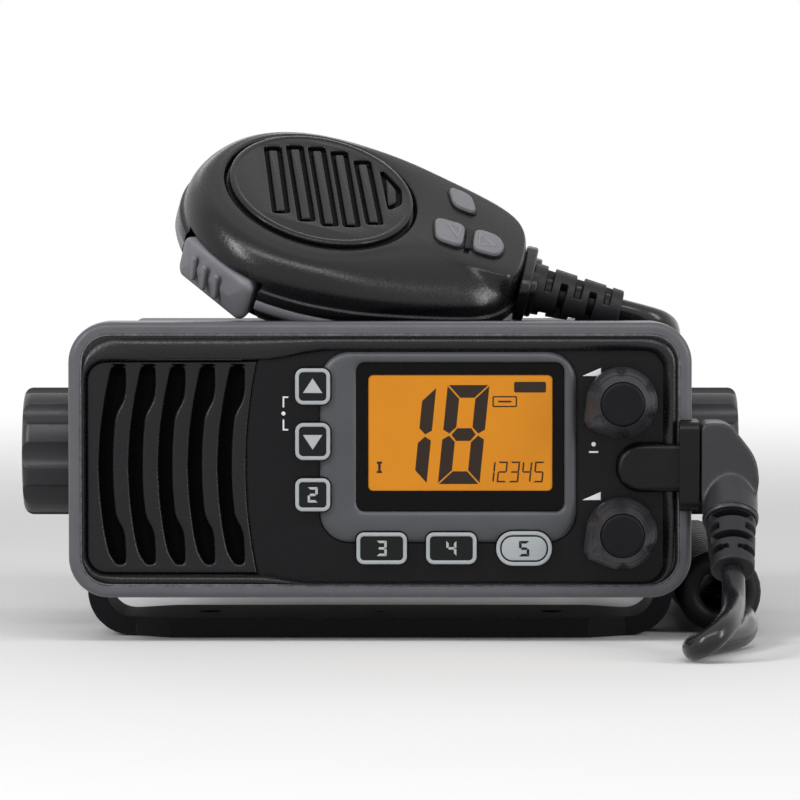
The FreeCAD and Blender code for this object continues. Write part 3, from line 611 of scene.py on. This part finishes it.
rim_inner = rounded_box(-73.4, 73.4, -30.8, 30.8, 6.9, 10)
recess = (
    arc(64.6, 21.9, 5, 0, 90) + s_curve(-10.7, 26.9, -30.0, 24.5) + arc(-67.2, 19.4, 5, 90, 180)
    + arc(-67.2, -23.1, 5, 180, 270) + s_curve(-30.0, -28.2, -15.5, -30.1) + arc(64.6, -25.1, 5, 270, 360)
)
shoulder_profile = [
    (0.0, 35.6), (0.0, 36.45), (0.03, 36.75), (0.08, 36.85), (0.14, 36.8), (0.17, 36.62), (0.21, 36.9), (0.30, 37.25),
    (0.42, 37.5), (0.54, 37.52), (0.66, 37.38), (0.78, 37.1), (0.88, 36.75), (0.95, 36.4), (1.0, 35.9), (1.0, 35.2),
]
ring_piece(
    "panel_shoulder", rim_inner, recess, shoulder_profile, radio_front, panel_black, "radio", 480
)
ring_piece(
    "rim_line", rounded_box(-73.55, 73.55, -30.95, 30.95, 7.0, 10), rounded_box(-73.1, 73.1, -30.5, 30.5, 6.6, 10),
    [(0, 36.3), (0, 36.95), (0.3, 37.08), (0.7, 37.08), (1, 36.95), (1, 36.3)],
    radio_front, rim_grey, "radio", 360,
)

# Speaker grille: slots with rolled edges, a bowed edge at the right
grille_mid = -1.85
bow_x, bow_r = -32.85, 124.5


def bow_at(z):
    return bow_x + bow_r - math.sqrt(bow_r ** 2 - (z - grille_mid) ** 2)

slot_edge = [
    (0.0, 22.6), (-1.6, 15.0), (-2.7, 7.0), (-3.15, -1.5), (-2.7, -10.0), (-1.7, -18.0), (-0.6, -23.0), (1.2, -25.7),
    (3.2, -25.6), (3.3, -23.0), (3.0, -17.6), (0.85, -14.0), (0.2, -7.0), (0.1, -1.5), (0.2, 4.0), (0.8, 11.0),
    (2.9, 14.6), (3.4, 18.0), (3.3, 22.7), (1.6, 23.3),
]
slots = [rounded_corners([(x - 65.9 + 7.3 * k, z) for x, z in slot_edge], 2.2, 4) for k in range(5)]
grille_edge = (
    [(bow_at(z), z) for z in (-28.1 + 52.5 * k / 16 for k in range(17))]
    + arc(-67.3, 19.5, 4.9, 90, 180) + arc(-67.3, -23.2, 4.9, 180, 270)
)
grille_plate = on_front("grille_plate", [grille_edge] + slots, -35.75, -33.6, grille_black, bevel=0.8, steps=4)
# A near-black matte sheet behind the slots: painted shade that hides the lit parts behind the grille
on_front("grille_painted_shade", [grille_edge], -33.55, -33.3, shade_black)
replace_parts(grille_plate, "speaker_grille")

# Display frame: a crowned grey surround, and the marks on the amber display
frame_outer = rounded_box(-14.7, 48.1, -20.2, 26.6, 7.3, 8)
window_edge = rounded_box(-5.9, 45.2, -12.7, 24.0, 2.2, 6)
display_surround = ring_piece(
    "display_surround", frame_outer, window_edge,
    [(0, 34.0), (0, 35.7), (0.04, 36.15), (0.12, 36.5), (0.25, 36.8), (0.45, 37.0), (0.65, 37.0), (0.85, 36.8),
     (0.95, 36.55), (1, 36.2), (1, 34.5)],
    radio_front, frame_grey, "radio", 480,
)
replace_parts(display_surround, "display_frame")
lcd_front = -35.7


def on_display(name, outlines):
    return on_front(name, outlines, lcd_front - 0.05, lcd_front + 0.1, segment_black, slot="lcd_amber")


def segment_digit(character, x, z, width, height, thick, slant):
    """The lit bars of a seven-segment digit, as slanted outlines. x and z are its lower left corner."""
    lit = {"1": "bc", "2": "abged", "3": "abgcd", "4": "fgbc", "5": "afgcd", "8": "abcdefg"}
    t, gap, half = thick, thick * 0.09, height / 2
    bars = {
        "a": [(gap, height), (width - gap, height), (width - t - gap, height - t), (t + gap, height - t)],
        "d": [(t + gap, t), (width - t - gap, t), (width - gap, 0), (gap, 0)],
        "g": [(t * 0.6 + gap, half), (t + gap, half + t / 2), (width - t - gap, half + t / 2),
              (width - t * 0.6 - gap, half), (width - t - gap, half - t / 2), (t + gap, half - t / 2)],
        "f": [(0, height - gap), (t, height - t - gap), (t, half + t / 2 + gap), (t * 0.5, half + gap),
              (0, half + t * 0.3 + gap)],
        "e": [(0, half - t * 0.3 - gap), (t * 0.5, half - gap), (t, half - t / 2 - gap), (t, t + gap), (0, gap)],
        "b": [(width - t, height - t - gap), (width, height - gap), (width, half + t * 0.3 + gap),
              (width - t * 0.5, half + gap), (width - t, half + t / 2 + gap)],
        "c": [(width - t, half - t / 2 - gap), (width - t * 0.5, half - gap), (width, half - t * 0.3 - gap),
              (width, gap), (width - t, t + gap)],
    }
    return [[(x + px + pz * slant, z + pz) for px, pz in bars[bar]] for bar in lit[character]]


def digits(text, x, z, width, height, thick, slant=0, pitch=0):
    outlines = []
    for i, character in enumerate(text):
        outlines += segment_digit(character, x + i * pitch, z, width, height, thick, slant)
    return outlines


on_display(
    "channel_digits", digits("1", 5.2, -5.9, 6.2, 23.8, 3.1, 0.1) + digits("8", 14.2, -5.9, 10.2, 24.3, 3.1, 0.1)
)
on_display("small_digits", digits("12345", 25.6, -5.5, 2.3, 5.1, 0.36, 0.1, 3.0))
on_display(
    "display_marks",
    [rounded_box(32.9, 40.7, 16.6, 19.2, 0.4), rounded_box(27.6, 33.6, 13.0, 15.7, 0.4),
     rounded_box(27.9, 33.3, 13.3, 15.4, 0.25), [(29.0, 14.15), (32.2, 14.15), (32.2, 14.55), (29.0, 14.55)],
     [(-0.8, -3.2), (0.5, -3.2), (0.5, -2.7), (0.15, -2.7), (0.15, -0.9), (0.5, -0.9), (0.5, -0.4), (-0.8, -0.4),
      (-0.8, -0.9), (-0.45, -0.9), (-0.45, -2.7), (-0.8, -2.7)]],
)


# Front keys: a dark cap in a raised grey ring, with a plain mark on it
key_boxes = {  # left, right, low and high sides, and the corners' radius
    "key_up": (-20.8, -12.2, 13.7, 22.6, 2.0),
    "key_down": (-20.8, -12.2, 0.1, 9.2, 2.0),
    "key_watch": (-20.8, -12.2, -12.5, -4.4, 1.8),
    "key_scan": (-5.8, 6.6, -25.5, -17.7, 1.9),
    "key_channel": (11.3, 23.7, -25.5, -17.7, 1.9),
    "key_call": (28.5, 42.2, -25.9, -17.4, 4.1),
}
key_digits = {"key_watch": "2", "key_scan": "3", "key_channel": "4", "key_call": "5"}
key_front = -37.9
ring_width = 0.95
for name, (x0, x1, z0, z1, r) in key_boxes.items():
    box = (x0, x1, z0, z1)
    on_key = dict(body=name, slot="key_grey")
    on_front(
        name + "_ring", [inset_box(box, 0, r, 8), inset_box(box, ring_width, max(r - ring_width, 0.7), 8)],
        key_front - 0.3, key_front + 0.9, key_grey, bevel=0.28, steps=3, **on_key,
    )
    cx, cz = (x0 + x1) / 2, (z0 + z1) / 2
    if name in key_digits:
        marks = digits(key_digits[name], cx - 1.25, cz - 1.9, 2.5, 3.8, 0.62)
    else:
        way = 1 if name == "key_up" else -1
        marks = [[(cx - 2.4, cz - 1.6 * way), (cx + 2.4, cz - 1.6 * way), (cx, cz + 2.0 * way)]]
    if name == "key_call":
        pad = inset_box(box, 1.35, 2.7, 10)
        on_front(name + "_pad", [pad], key_front - 0.22, key_front + 0.5, key_grey, bevel=0.15, **on_key)
        on_front(name + "_mark", marks, key_front - 0.28, key_front, key_dark, **on_key)
    else:
        on_front(name + "_mark", marks, key_front - 0.06, key_front + 0.3, mark_grey, **on_key)


# Printed marks beside the knobs, and the arc beside the up and down keys
def printed(name, outlines):
    return on_front(name, outlines, -35.44, -35.2, mark_white)


printed("volume_wedge", [[(49.6, 20.6), (54.2, 20.6), (54.2, 22.6)]])
printed("squelch_wedge", [[(49.6, -9.9), (54.2, -9.9), (54.2, -7.9)]])
printed("off_dot", [circle(52.45, 3.85, 0.55, 20)])
printed("off_bar", [rounded_box(51.3, 53.6, 1.7, 2.15, 0.2)])
printed(
    "key_pair_line",
    [[(-22.5, 15.6), (-23.9, 15.6), (-23.9, 12.9), (-23.5, 12.9), (-23.5, 15.2), (-22.5, 15.2)],
     [(-22.5, 7.2), (-23.9, 7.2), (-23.9, 9.9), (-23.5, 9.9), (-23.5, 7.6), (-22.5, 7.6)]],
)
printed("key_pair_dot", [circle(-23.7, 11.4, 0.5, 16)])


# Microphone: shells lofted from one outline, with a wide soft shoulder on the near side
mic_half_outline = [
    (-34.0, 0.0), (-33.3, 7.0), (-30.6, 14.8), (-25.6, 22.4), (-18.6, 28.5), (-10.0, 32.5), (0.0, 33.9), (9.0, 33.4),
    (17.0, 32.0), (25.0, 29.6), (33.0, 26.8), (41.0, 23.6), (47.5, 20.2), (52.0, 15.2), (54.6, 8.5), (55.4, 0.0),
]


def smooth_closed(points, steps=6):
    """A closed curve through the points."""
    result = []
    n = len(points)
    for i in range(n):
        a, b, c, d = (Vector(points[(i + k) % n]) for k in (-1, 0, 1, 2))
        for k in range(steps):
            t = k / steps
            result.append(tuple(
                0.5 * ((2 * b) + (c - a) * t + (2 * a - 5 * b + 4 * c - d) * t * t + (3 * b - a - 3 * c + d) * t ** 3)
            ))
    return result


# Where the flat face ends: round about the head, drawn in at the waist on the near side
mic_face_edge = smooth_closed([
    (-26.6, 0), (-24.4, -12.5), (-19.5, -18.8), (-12.5, -23.4), (-4, -25.8), (4, -25.4), (11, -22.2), (17, -17.4),
    (22.5, -13.2), (29, -11.0), (36, -11.0), (43, -12.2), (49, -12.6), (51.8, -10.2), (52.8, -4), (52.6, 5),
    (51.0, 11), (47, 15.6), (39, 19.8), (30, 23.4), (20, 27.0), (10, 29.0), (0, 29.6), (-9, 28.0), (-17, 23.8),
    (-22.8, 17), (-26.2, 8),
])
mic_edge = smooth_closed(mic_half_outline + [(u, -v) for u, v in reversed(mic_half_outline[1:-1])])
mic_hub = (8.0, 0.0)
mic_lowest = 75.3 * mm
plate_centre = (0.0, 3.6)
mic_rays = []
for k in range(288):
    angle = 2 * math.pi * k / 288
    opening = ray_hit(circle(*plate_centre, 24.1, 120), *mic_hub, angle)
    edge = max(opening + 1.8, ray_hit(mic_face_edge, *mic_hub, angle))
    mic_rays.append((math.cos(angle), math.sin(angle), ray_hit(mic_edge, *mic_hub, angle), opening, edge))


def mic_loft(name, rings):
    """A closed shell through rings that stays above the radio.

    Each ring is a function of a ray's outline, opening and face edge that gives its reach and height.
    """
    bm = bmesh.new()
    made = []
    for ring in rings:
        row = []
        for c, s, far, opening, edge in mic_rays:
            reach, w = ring(far, opening, edge)
            place = mic_face @ at(mic_hub[0] + reach * c, mic_hub[1] + reach * s, w)
            place.z = max(place.z, mic_lowest)
            row.append(bm.verts.new(place))
        made.append(row)
    skin(bm, made)
    face_outwards(bm)
    return add_mesh(name, bm, angle=32)


def wall_ring(inset, w):
    return lambda far, opening, edge: (far - inset, w)


def shoulder_ring(turn):
    a = math.radians(turn)
    sink, rise = 1 - math.cos(a), 8.2 * math.sin(a)
    return lambda far, opening, edge: (far - 0.9 - (far - 0.9 - edge) * sink, -9.2 + rise)


def face_ring(share, lift, w):
    return lambda far, opening, edge: (opening + lift + (edge - opening - lift) * share, w)


def scaled_ring(inset, w):
    return lambda far, opening, edge: (far * (1 - inset / 34), w)


def apply_modifiers(piece):
    """Put the mesh that the piece's modifiers make in place of its own."""
    bpy.context.view_layer.update()
    mesh = bpy.data.meshes.new_from_object(piece.evaluated_get(bpy.context.evaluated_depsgraph_get()))
    piece.modifiers.clear()
    old, piece.data = piece.data, mesh
    bpy.data.meshes.remove(old)
    mesh.shade_smooth()


def cut_with(piece, cutter):
    """Take the cutter's shape out of the piece."""
    modifier = piece.modifiers.new("cut", "BOOLEAN")
    modifier.object = cutter
    modifier.solver = "EXACT"
    apply_modifiers(piece)
    piece.data.set_sharp_from_angle(angle=math.radians(32))


front_rings = [wall_ring(*ring) for ring in ((0.3, -13.0), (0.0, -12.7), (0.0, -10.8), (0.15, -10.2), (0.75, -9.9))]
front_rings += [shoulder_ring(turn) for turn in range(0, 91, 6)]
front_rings += [face_ring(*ring) for ring in (
    (0.6, 1.4, -0.85), (0.0, 1.4, -0.75), (0.0, 0.9, -0.85), (0.0, 0.35, -1.4), (0.0, 0.0, -2.3),
)]
rear_rings = [scaled_ring(*ring) for ring in (
    (0.5, -15.8), (0.2, -16.1), (0.7, -17.2), (1.8, -19.0), (4.0, -20.6), (6.5, -21.8), (9.5, -23.2), (13.0, -25.2),
    (16.5, -26.9), (19.5, -27.7), (21.5, -28.0),
)]
band_rings = [scaled_ring(*ring) for ring in (
    (1.4, -15.9), (0.1, -15.7), (-0.1, -15.3), (-0.1, -13.6), (0.1, -13.1), (1.4, -12.9),
)]
thumb_turn, thumb_w = 231, -14.6
bm = bmesh.new()
bmesh.ops.create_cube(bm, size=1)
pocket = add_mesh("pocket", bm, smooth=False)
pocket.matrix_world = (
    mic_face @ Matrix.Rotation(math.radians(thumb_turn), 4, "Z")
    @ Matrix.Translation(at(31, 0, thumb_w)) @ Matrix.Diagonal((18.8 * mm, 27.2 * mm, 12.6 * mm, 1))
)
for name, rings, material, slot, node in (
    ("mic_front_form", front_rings, mic_black, "mic_black", "mic_front_shell"),
    ("mic_rear_form", rear_rings, mic_black, "mic_black", "mic_rear_shell"),
    ("mic_band", band_rings, mic_grey, "mic_grey", "mic_gasket"),
):
    shell = mic_loft(name, rings)
    cut_with(shell, pocket)
    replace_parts(dressed(shell, material, "microphone"), node)
bpy.data.objects.remove(pocket)

# Thumb button: a pad bent round the head, with three slanted ribs
head_r = 35


def bent_pad(bm, turn, w, along, across, corner, rows, lean=0.0):
    """Rows are (how far in from the outline, distance from the head's centre)."""
    made = []
    for inset, reach in rows:
        row = []
        for x, y in inset_box((-along, along, -across, across), inset, max(0.05, corner - inset), 7):
            a = math.radians(turn) + (x + lean * y) / head_r
            row.append(bm.verts.new(mic_face @ at(reach * math.cos(a), reach * math.sin(a), w + y)))
        made.append(row)
    skin(bm, made)


bm = bmesh.new()
bent_pad(bm, thumb_turn, thumb_w, 12.9, 5.7, 2.6, [
    (0.3, 27.5), (0, 28), (0, 34.0), (0.15, 34.5), (0.5, 34.85), (1.1, 35.05), (2.2, 35.15), (3.4, 35.2), (4.6, 35.2),
    (5.5, 35.2),
])
for offset in (-4.3, 0.0, 4.3):
    rib_turn = 229 + math.degrees(offset / head_r)
    bent_pad(bm, rib_turn, -14.4, 0.75, 3.3, 0.7, [(0, 34.9), (0.05, 35.4), (0.25, 35.65), (0.6, 35.75)], lean=-0.16)
face_outwards(bm)
thumb_pad = dressed(add_mesh("thumb_pad", bm), ptt_grey, "ptt_button")
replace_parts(thumb_pad, "ptt_button")


# Round grille: slots that lean, with a rib in each, and a bare strip at the head's end
slot_ends = [
    ((-14.9, 17.6), (-8.2, -11.6)), ((-9.6, 20.6), (-1.5, -12.4)), ((-4.1, 22.4), (4.4, -12.0)),
    ((1.7, 23.0), (9.8, -10.0)), ((8.0, 21.4), (15.2, -6.4)),
]


def slot_shape(ends, half, short):
    (u0, v0), (u1, v1) = ends
    slope = (u1 - u0) / (v1 - v0)
    skew = half * 0.45
    corners = [
        (u0 - slope * short - half, v0 - short - skew), (u0 - slope * short + half, v0 - short + skew),
        (u1 + slope * short + half, v1 + short + skew), (u1 + slope * short - half, v1 + short - skew),
    ]
    return rounded_corners(list(reversed(corners)), half * 0.5, 4)


mic_slots = [slot_shape(ends, 2.15, 0) for ends in slot_ends]
mic_slots.append(rounded_corners([(17.6, 1.4), (20.6, 5.6), (19.6, 12.6), (14.0, 19.0), (13.2, 18.2)], 1.4, 4))
mic_ribs = [slot_shape(ends, 1.05, 1.6) for ends in slot_ends]
mic_ribs.append(rounded_corners([(17.2, 4.0), (19.1, 6.2), (18.2, 12.0), (15.0, 16.0)], 0.9, 4))
plate_edge = circle(*plate_centre, 23.6, 96)
mic_plate = on_mic("mic_plate", [plate_edge] + mic_slots, -1.5, 0.15, mic_black, bevel=0.4, steps=3)
on_mic("mic_plate_ribs", mic_ribs, -2.0, -0.1, mic_black, bevel=0.35, steps=3)
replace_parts(mic_plate, "mic_grille")
ring_piece(
    "mic_ledge", circle(*plate_centre, 23.55, 96), circle(*plate_centre, 21.8, 96),
    [(0, -1.0), (0, -0.05), (0.25, 0.3), (0.6, 0.35), (1.0, 0.1), (1.0, -0.2)],
    mic_face, mic_black, "microphone", 200,
)

# Microphone keys in dark recesses, with raised arrowheads
mic_keys = {
    "mic_key_power": [(31.0, 19.0), (37.2, 17.4), (39.6, 10.2), (33.4, 11.6)],
    "mic_key_down": [(29.4, 3.6), (37.4, 3.2), (37.8, -6.2), (30.8, -5.2)],
    "mic_key_up": [(40.0, 3.0), (46.2, 2.2), (48.4, -2.2), (47.0, -6.2), (40.4, -6.0)],
}
for name, corners in mic_keys.items():
    centre = sum((Vector(c) for c in corners), Vector((0, 0))) / len(corners)
    wider = [tuple(centre + (Vector(c) - centre) * 1.16) for c in corners]
    on_mic(name + "_recess", [rounded_corners(wider, 2.8)], -1.4, -0.62, pod_black)
    cap = on_mic(
        name + "_cap", [rounded_corners(corners, 2.4, 6)], -1.8, 0.55, key_cap_grey,
        body=name, slot="mic_grey", bevel=0.5, steps=3,
    )
    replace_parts(cap, name)
bridge = rounded_corners([(37.9, 3.4), (39.5, 3.2), (39.9, -6.2), (38.3, -6.4)], 0.6)
on_mic("mic_key_bridge", [bridge], -1.4, 0.1, pod_black, bevel=0.25)
arrowheads = {
    "mic_key_down": ([(32.4, 1.6), (36.6, 1.2), (36.4, -4.2)], [(33.6, 1.0), (36.0, 0.8), (35.9, -2.4)]),
    "mic_key_up": ([(41.2, 1.0), (41.4, -4.8), (46.4, -3.2)], [(41.9, -0.4), (42.0, -4.0), (45.0, -3.2)]),
}
for name, (outer, inner) in arrowheads.items():
    outlines = [rounded_corners(outer, 0.5), rounded_corners(inner, 0.4)]
    on_mic(name + "_mark", outlines, 0.5, 0.68, mic_grey, body=name, slot="mic_grey")


# Stepped collar at the microphone's end
collar_place = mic_face @ Matrix.Rotation(math.pi / 2, 4, "Y")
mic_collar_step = plate_piece(
    "mic_collar_step", [rounded_box(3.6, 17.4, -10.6, 10.6, 5.0)], 54.0, 57.0,
    collar_place, mic_black, "microphone", "mic_black", 0.7, 3,
)
plate_piece(
    "mic_collar_neck", [rounded_box(5.0, 17.0, -7.8, 7.8, 4.6)], 56.0, 58.6,
    collar_place, mic_black, "microphone", "mic_black", 0.6, 3,
)
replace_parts(mic_collar_step, "mic_collar")


# Strain reliefs: a rubber sleeve with half slots that change sides from one to the next
sleeve_step, sleeve_sides, sleeve_core = 0.16, 112, 3.2
slot_fade, slot_end_fade = 0.22, 5


def relief(name, start, way, length, radius_at, slots, body, node):
    """Slots are (place along the sleeve, half width, half angle, middle angles), cut down to the core."""
    way = way.normalized()
    side = way.cross(Vector((0, 0, 1))).normalized()
    up = side.cross(way)
    steps = int(length / sleeve_step)
    bm = bmesh.new()
    rows = []
    for i in range(steps + 1):
        s = length * i / steps
        row = []
        for k in range(sleeve_sides):
            turn = 360 * k / sleeve_sides
            r = radius_at(s)
            for place, half, spread, middles in slots:
                for middle in middles:
                    off = abs((turn - middle + 180) % 360 - 180)
                    across = min(1, max(0, (half - abs(s - place)) / slot_fade))
                    r -= (r - sleeve_core) * across * min(1, max(0, (spread - off) / slot_end_fade))
            a = math.radians(turn)
            row.append(bm.verts.new(start + way * s * mm + r * mm * (math.cos(a) * side + math.sin(a) * up)))
        rows.append(row)
    skin(bm, rows)
    face_outwards(bm)
    piece = dressed(add_mesh(name, bm, angle=50), rubber_black, body)
    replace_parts(piece, node)
    return piece


def tapered(r0, r1, length, edge=0.5):
    """The radius along a cone with rounded ends."""
    def radius(s):
        r = r0 + (r1 - r0) * s / length
        rim = min(s, length - s)
        return r - (edge - math.sqrt(max(0, edge ** 2 - (edge - min(rim, edge)) ** 2)))
    return radius


plug_way = Vector((0, -0.6665, -0.7455))
plug_out = Vector((85.7, -32.75, 41.4)) * mm
boot_start = plug_out + plug_way * 15 * mm
plug_relief = relief(
    "plug_relief", boot_start, plug_way, 14.6, tapered(6.2, 5.3, 14.6),
    [(1.2, 1.0, 58, (90, 270)), (4.3, 0.95, 46, (10, 170)), (7.5, 1.0, 62, (90, 270)), (10.9, 0.9, 42, (20, 160)),
     (10.9, 0.6, 10, (112, 68)), (10.9, 0.9, 40, (270,))],
    "radio", "plug_boot",
)
mic_way = (mic_face.to_3x3() @ Vector((1, 0, 0))).normalized()
relief(
    "mic_relief", mic_face @ at(56.9, 0, -11.2), mic_way, 23.6, tapered(6.6, 4.9, 23.6),
    [(4.6, 1.0, 60, (60, 240)), (8.4, 1.0, 60, (150, 330)), (12.2, 1.0, 60, (60, 240)), (16.0, 1.0, 60, (150, 330)),
     (19.8, 0.9, 55, (60, 240))],
    "microphone", "mic_boot",
)


# Elbow plug: block, knee and barrel melted into one moulded body
def add_prism(bm, outline, y0, y1):
    low, high = ([bm.verts.new(at(x, y, z)) for x, z in outline] for y in (y0, y1))
    skin(bm, [high, low])


def add_rod(bm, start, way, r0, r1, length):
    matrix = Matrix.Translation(start + way * length / 2 * mm) @ way.to_track_quat("Z", "Y").to_matrix().to_4x4()
    bmesh.ops.create_cone(
        bm, cap_ends=True, segments=64, radius1=r0 * mm, radius2=r1 * mm, depth=length * mm, matrix=matrix
    )


plug_block = [
    (78.5, 33.2), (78.5, 54.6), (85.4, 54.6), (88.8, 50.4), (91.8, 46.4), (92.9, 41.6), (92.4, 36.4), (88.0, 33.2),
]
bm = bmesh.new()
add_prism(bm, rounded_corners(plug_block, 2.4), -41.2, -24.3)
add_rod(bm, plug_out - plug_way * 3 * mm, plug_way, 7.2, 6.7, 17.4)
bmesh.ops.create_uvsphere(bm, u_segments=48, v_segments=32, radius=7.3 * mm, matrix=Matrix.Translation(plug_out))
plug_body = add_mesh("plug_body", bm)
remesh = plug_body.modifiers.new("remesh", "REMESH")
remesh.mode = "VOXEL"
remesh.voxel_size = 0.45 * mm
plug_body.modifiers.new("relax", "SMOOTH").iterations = 6
apply_modifiers(plug_body)
dressed(plug_body, plug_black, "radio")
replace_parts(plug_body, "plug_elbow")
bm = bmesh.new()
for reach, r0, r1, length in ((13.3, 6.9, 6.9, 0.55), (14.2, 6.85, 6.6, 0.7)):
    add_rod(bm, plug_out + plug_way * reach * mm, plug_way, r0, r1, length)
plug_bead = dressed(add_mesh("plug_bead", bm, angle=40), plug_black, "radio")


# Keys sit in openings of the display surround
key_play = 0.3
bm = bmesh.new()
for *box, r in key_boxes.values():
    outline = inset_box(box, -key_play, r + key_play, 6)
    add_prism(bm, [(x, z + tilt_height / mm) for x, z in outline], -39.5, -33)
face_outwards(bm)
openings = add_mesh("openings", bm, smooth=False)
bm = bmesh.new()
bm.from_mesh(display_surround.data)
bmesh.ops.bridge_loops(bm, edges=[e for e in bm.edges if e.is_boundary])
face_outwards(bm)
bm.to_mesh(display_surround.data)
bm.free()
cut_with(display_surround, openings)
bpy.data.objects.remove(openings)


# Front knobs: a skirt with scoops, a bevelled shoulder and a pointer
knob_r, knob_top_r, knob_sides = 8.75, 5.5, 240
pointer_start, pointer_end = 178, 250
scoop_turns, scoop_depth, scoop_spread = (92, 150, 31, -27, -88), 0.85, 7.5
dent_turn, dent_reach, dent_depth, dent_spread = math.radians(214), 6.9, 0.75, 1.15


def front_knob(node, x, z):
    pointer = [(0, 0)]
    for turn, reach in ((pointer_start, knob_r), (205.5, 10.3), (217.5, 10.3), (pointer_end, knob_r)):
        pointer.append((reach * math.cos(math.radians(turn)), reach * math.sin(math.radians(turn))))
    # Each row: its kind, an inset, share or reach by kind, its depth, and how much of the scoops it shows
    rows = [("wall", *row) for row in (
        (0.35, -36.0, 0), (0.0, -36.3, 0), (0.0, -39.0, 0.3), (0.0, -40.8, 0.9), (0.12, -41.3, 1), (0.45, -41.7, 1),
    )]
    cone = [(0.07 * k, -41.8 - 1.9 * (k / 6) ** 0.8) for k in range(1, 7)]
    cone += [(0.42 + 0.58 * k / 8, -43.8 - 2.1 * k / 8) for k in range(9)]
    rows += [("cone", share, y, 1 - share) for share, y in cone] + [("rim", 5.32, -45.2, 0)]
    bm = bmesh.new()
    rings = []
    for kind, first, y, scoop in rows:
        ring = []
        for k in range(knob_sides):
            turn = 360 * k / knob_sides
            a = math.radians(turn)
            reach = knob_r
            if pointer_start < turn < pointer_end:
                reach = max(reach, ray_hit(pointer, 0.001, 0.001, a))
            for middle in scoop_turns:
                off = abs((turn - middle + 180) % 360 - 180)
                reach -= scoop_depth * scoop * math.exp(-((off / scoop_spread) ** 2))
            if kind == "wall":
                reach -= first
            elif kind == "cone":
                reach = (reach - 0.45) * (1 - first) + knob_top_r * first
            else:
                reach = first
            px, pz = reach * math.cos(a), reach * math.sin(a)
            off = math.hypot(px - dent_reach * math.cos(dent_turn), pz - dent_reach * math.sin(dent_turn))
            dent = dent_depth * math.exp(-((off / dent_spread) ** 4)) if kind == "cone" and first < 0.95 else 0
            ring.append(bm.verts.new(((x + px) * mm, (y + dent) * mm, z * mm + pz * mm + tilt_height)))
        rings.append(ring)
    skin(bm, rings)
    face_outwards(bm)
    piece = dressed(add_mesh(node + "_skirt", bm, angle=40), knob_black, node)
    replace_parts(piece, node)


front_knob("volume_knob", 59.2, 14.2)
front_knob("squelch_knob", 59.2, -17.9)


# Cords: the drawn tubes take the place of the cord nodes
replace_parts(lead_wire, "cord_lead")
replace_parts(coil_wire, "cord_coil")
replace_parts(tail_upper_wire, "cord_tail_upper")
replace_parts(tail_lower_wire, "cord_tail_lower")


# Floor, background and light
floor_r, floor_gap = 1.1, 0.2 * mm
even_light = 0.22


def pale_floor():
    """A pale disc that fades out towards its rim, so that it has no edge in the picture."""
    bm = bmesh.new()
    bmesh.ops.create_circle(bm, cap_ends=True, segments=96, radius=floor_r)
    floor = add_mesh("floor", bm, smooth=False)
    n = Nodes("pale_floor")
    distance = n.new("ShaderNodeVectorMath", {0: n.place}, operation="LENGTH").outputs["Value"]
    n.set(
        Roughness=0.8, Specular_IOR_Level=0.1,
        Base_Color=n.blend(n.noise(0.2, detail=3), srgb(243, 243, 243), srgb(247, 247, 247)),
        Normal=n.bump(n.noise(0.004, detail=2), 0.02 * mm),
        Alpha=n.to_range(distance, 0.3, 1.05, 1.0, 0.0, interpolation_type="SMOOTHSTEP"),
    )
    coat_with(floor, n.material)
    floor.location.z = -floor_gap


def soft_lamp(name, place, target, size, energy):
    data = bpy.data.lights.new(name, "AREA")
    data.shape = "RECTANGLE"
    data.size, data.size_y = size
    data.energy = energy
    lamp = bpy.data.objects.new(name, data)
    scene.collection.objects.link(lamp)
    lamp.location = place
    lamp.rotation_euler = (Vector(target) - Vector(place)).to_track_quat("-Z", "Y").to_euler()


def studio_world():
    """White where the camera, a gloss or a glass sees it, and an even soft light otherwise."""
    world = bpy.data.worlds.new("studio")
    scene.world = world
    world.use_nodes = True
    tree = world.node_tree
    tree.nodes.clear()
    rays = add_node(tree, "ShaderNodeLightPath").outputs
    seen = rays["Is Camera Ray"]
    for other in ("Is Glossy Ray", "Is Transmission Ray"):
        seen = add_node(tree, "ShaderNodeMath", {0: seen, 1: rays[other]}, operation="MAXIMUM").outputs[0]
    light, white = (
        add_node(tree, "ShaderNodeBackground", {"Color": (1, 1, 1, 1), "Strength": strength}).outputs[0]
        for strength in (even_light, 1.0)
    )
    mix = add_node(tree, "ShaderNodeMixShader", {0: seen, 1: light, 2: white})
    add_node(tree, "ShaderNodeOutputWorld", {0: mix.outputs[0]})


pale_floor()
studio_world()
soft_lamp("key_lamp", (-0.8, -0.7, 0.6), (0, 0, 0.05), (0.18, 0.6), 6.4)
soft_lamp("fill_lamp", (0.95, -0.5, 0.4), (0, 0, 0.06), (0.16, 0.7), 4.6)
soft_lamp("top_lamp", (0.0, -0.72, 0.86), (0, 0, 0.05), (1.1, 0.2), 4.6)
soft_lamp("back_lamp", (-0.1, 0.85, 0.65), (0, 0, 0.06), (0.9, 0.25), 1.2)
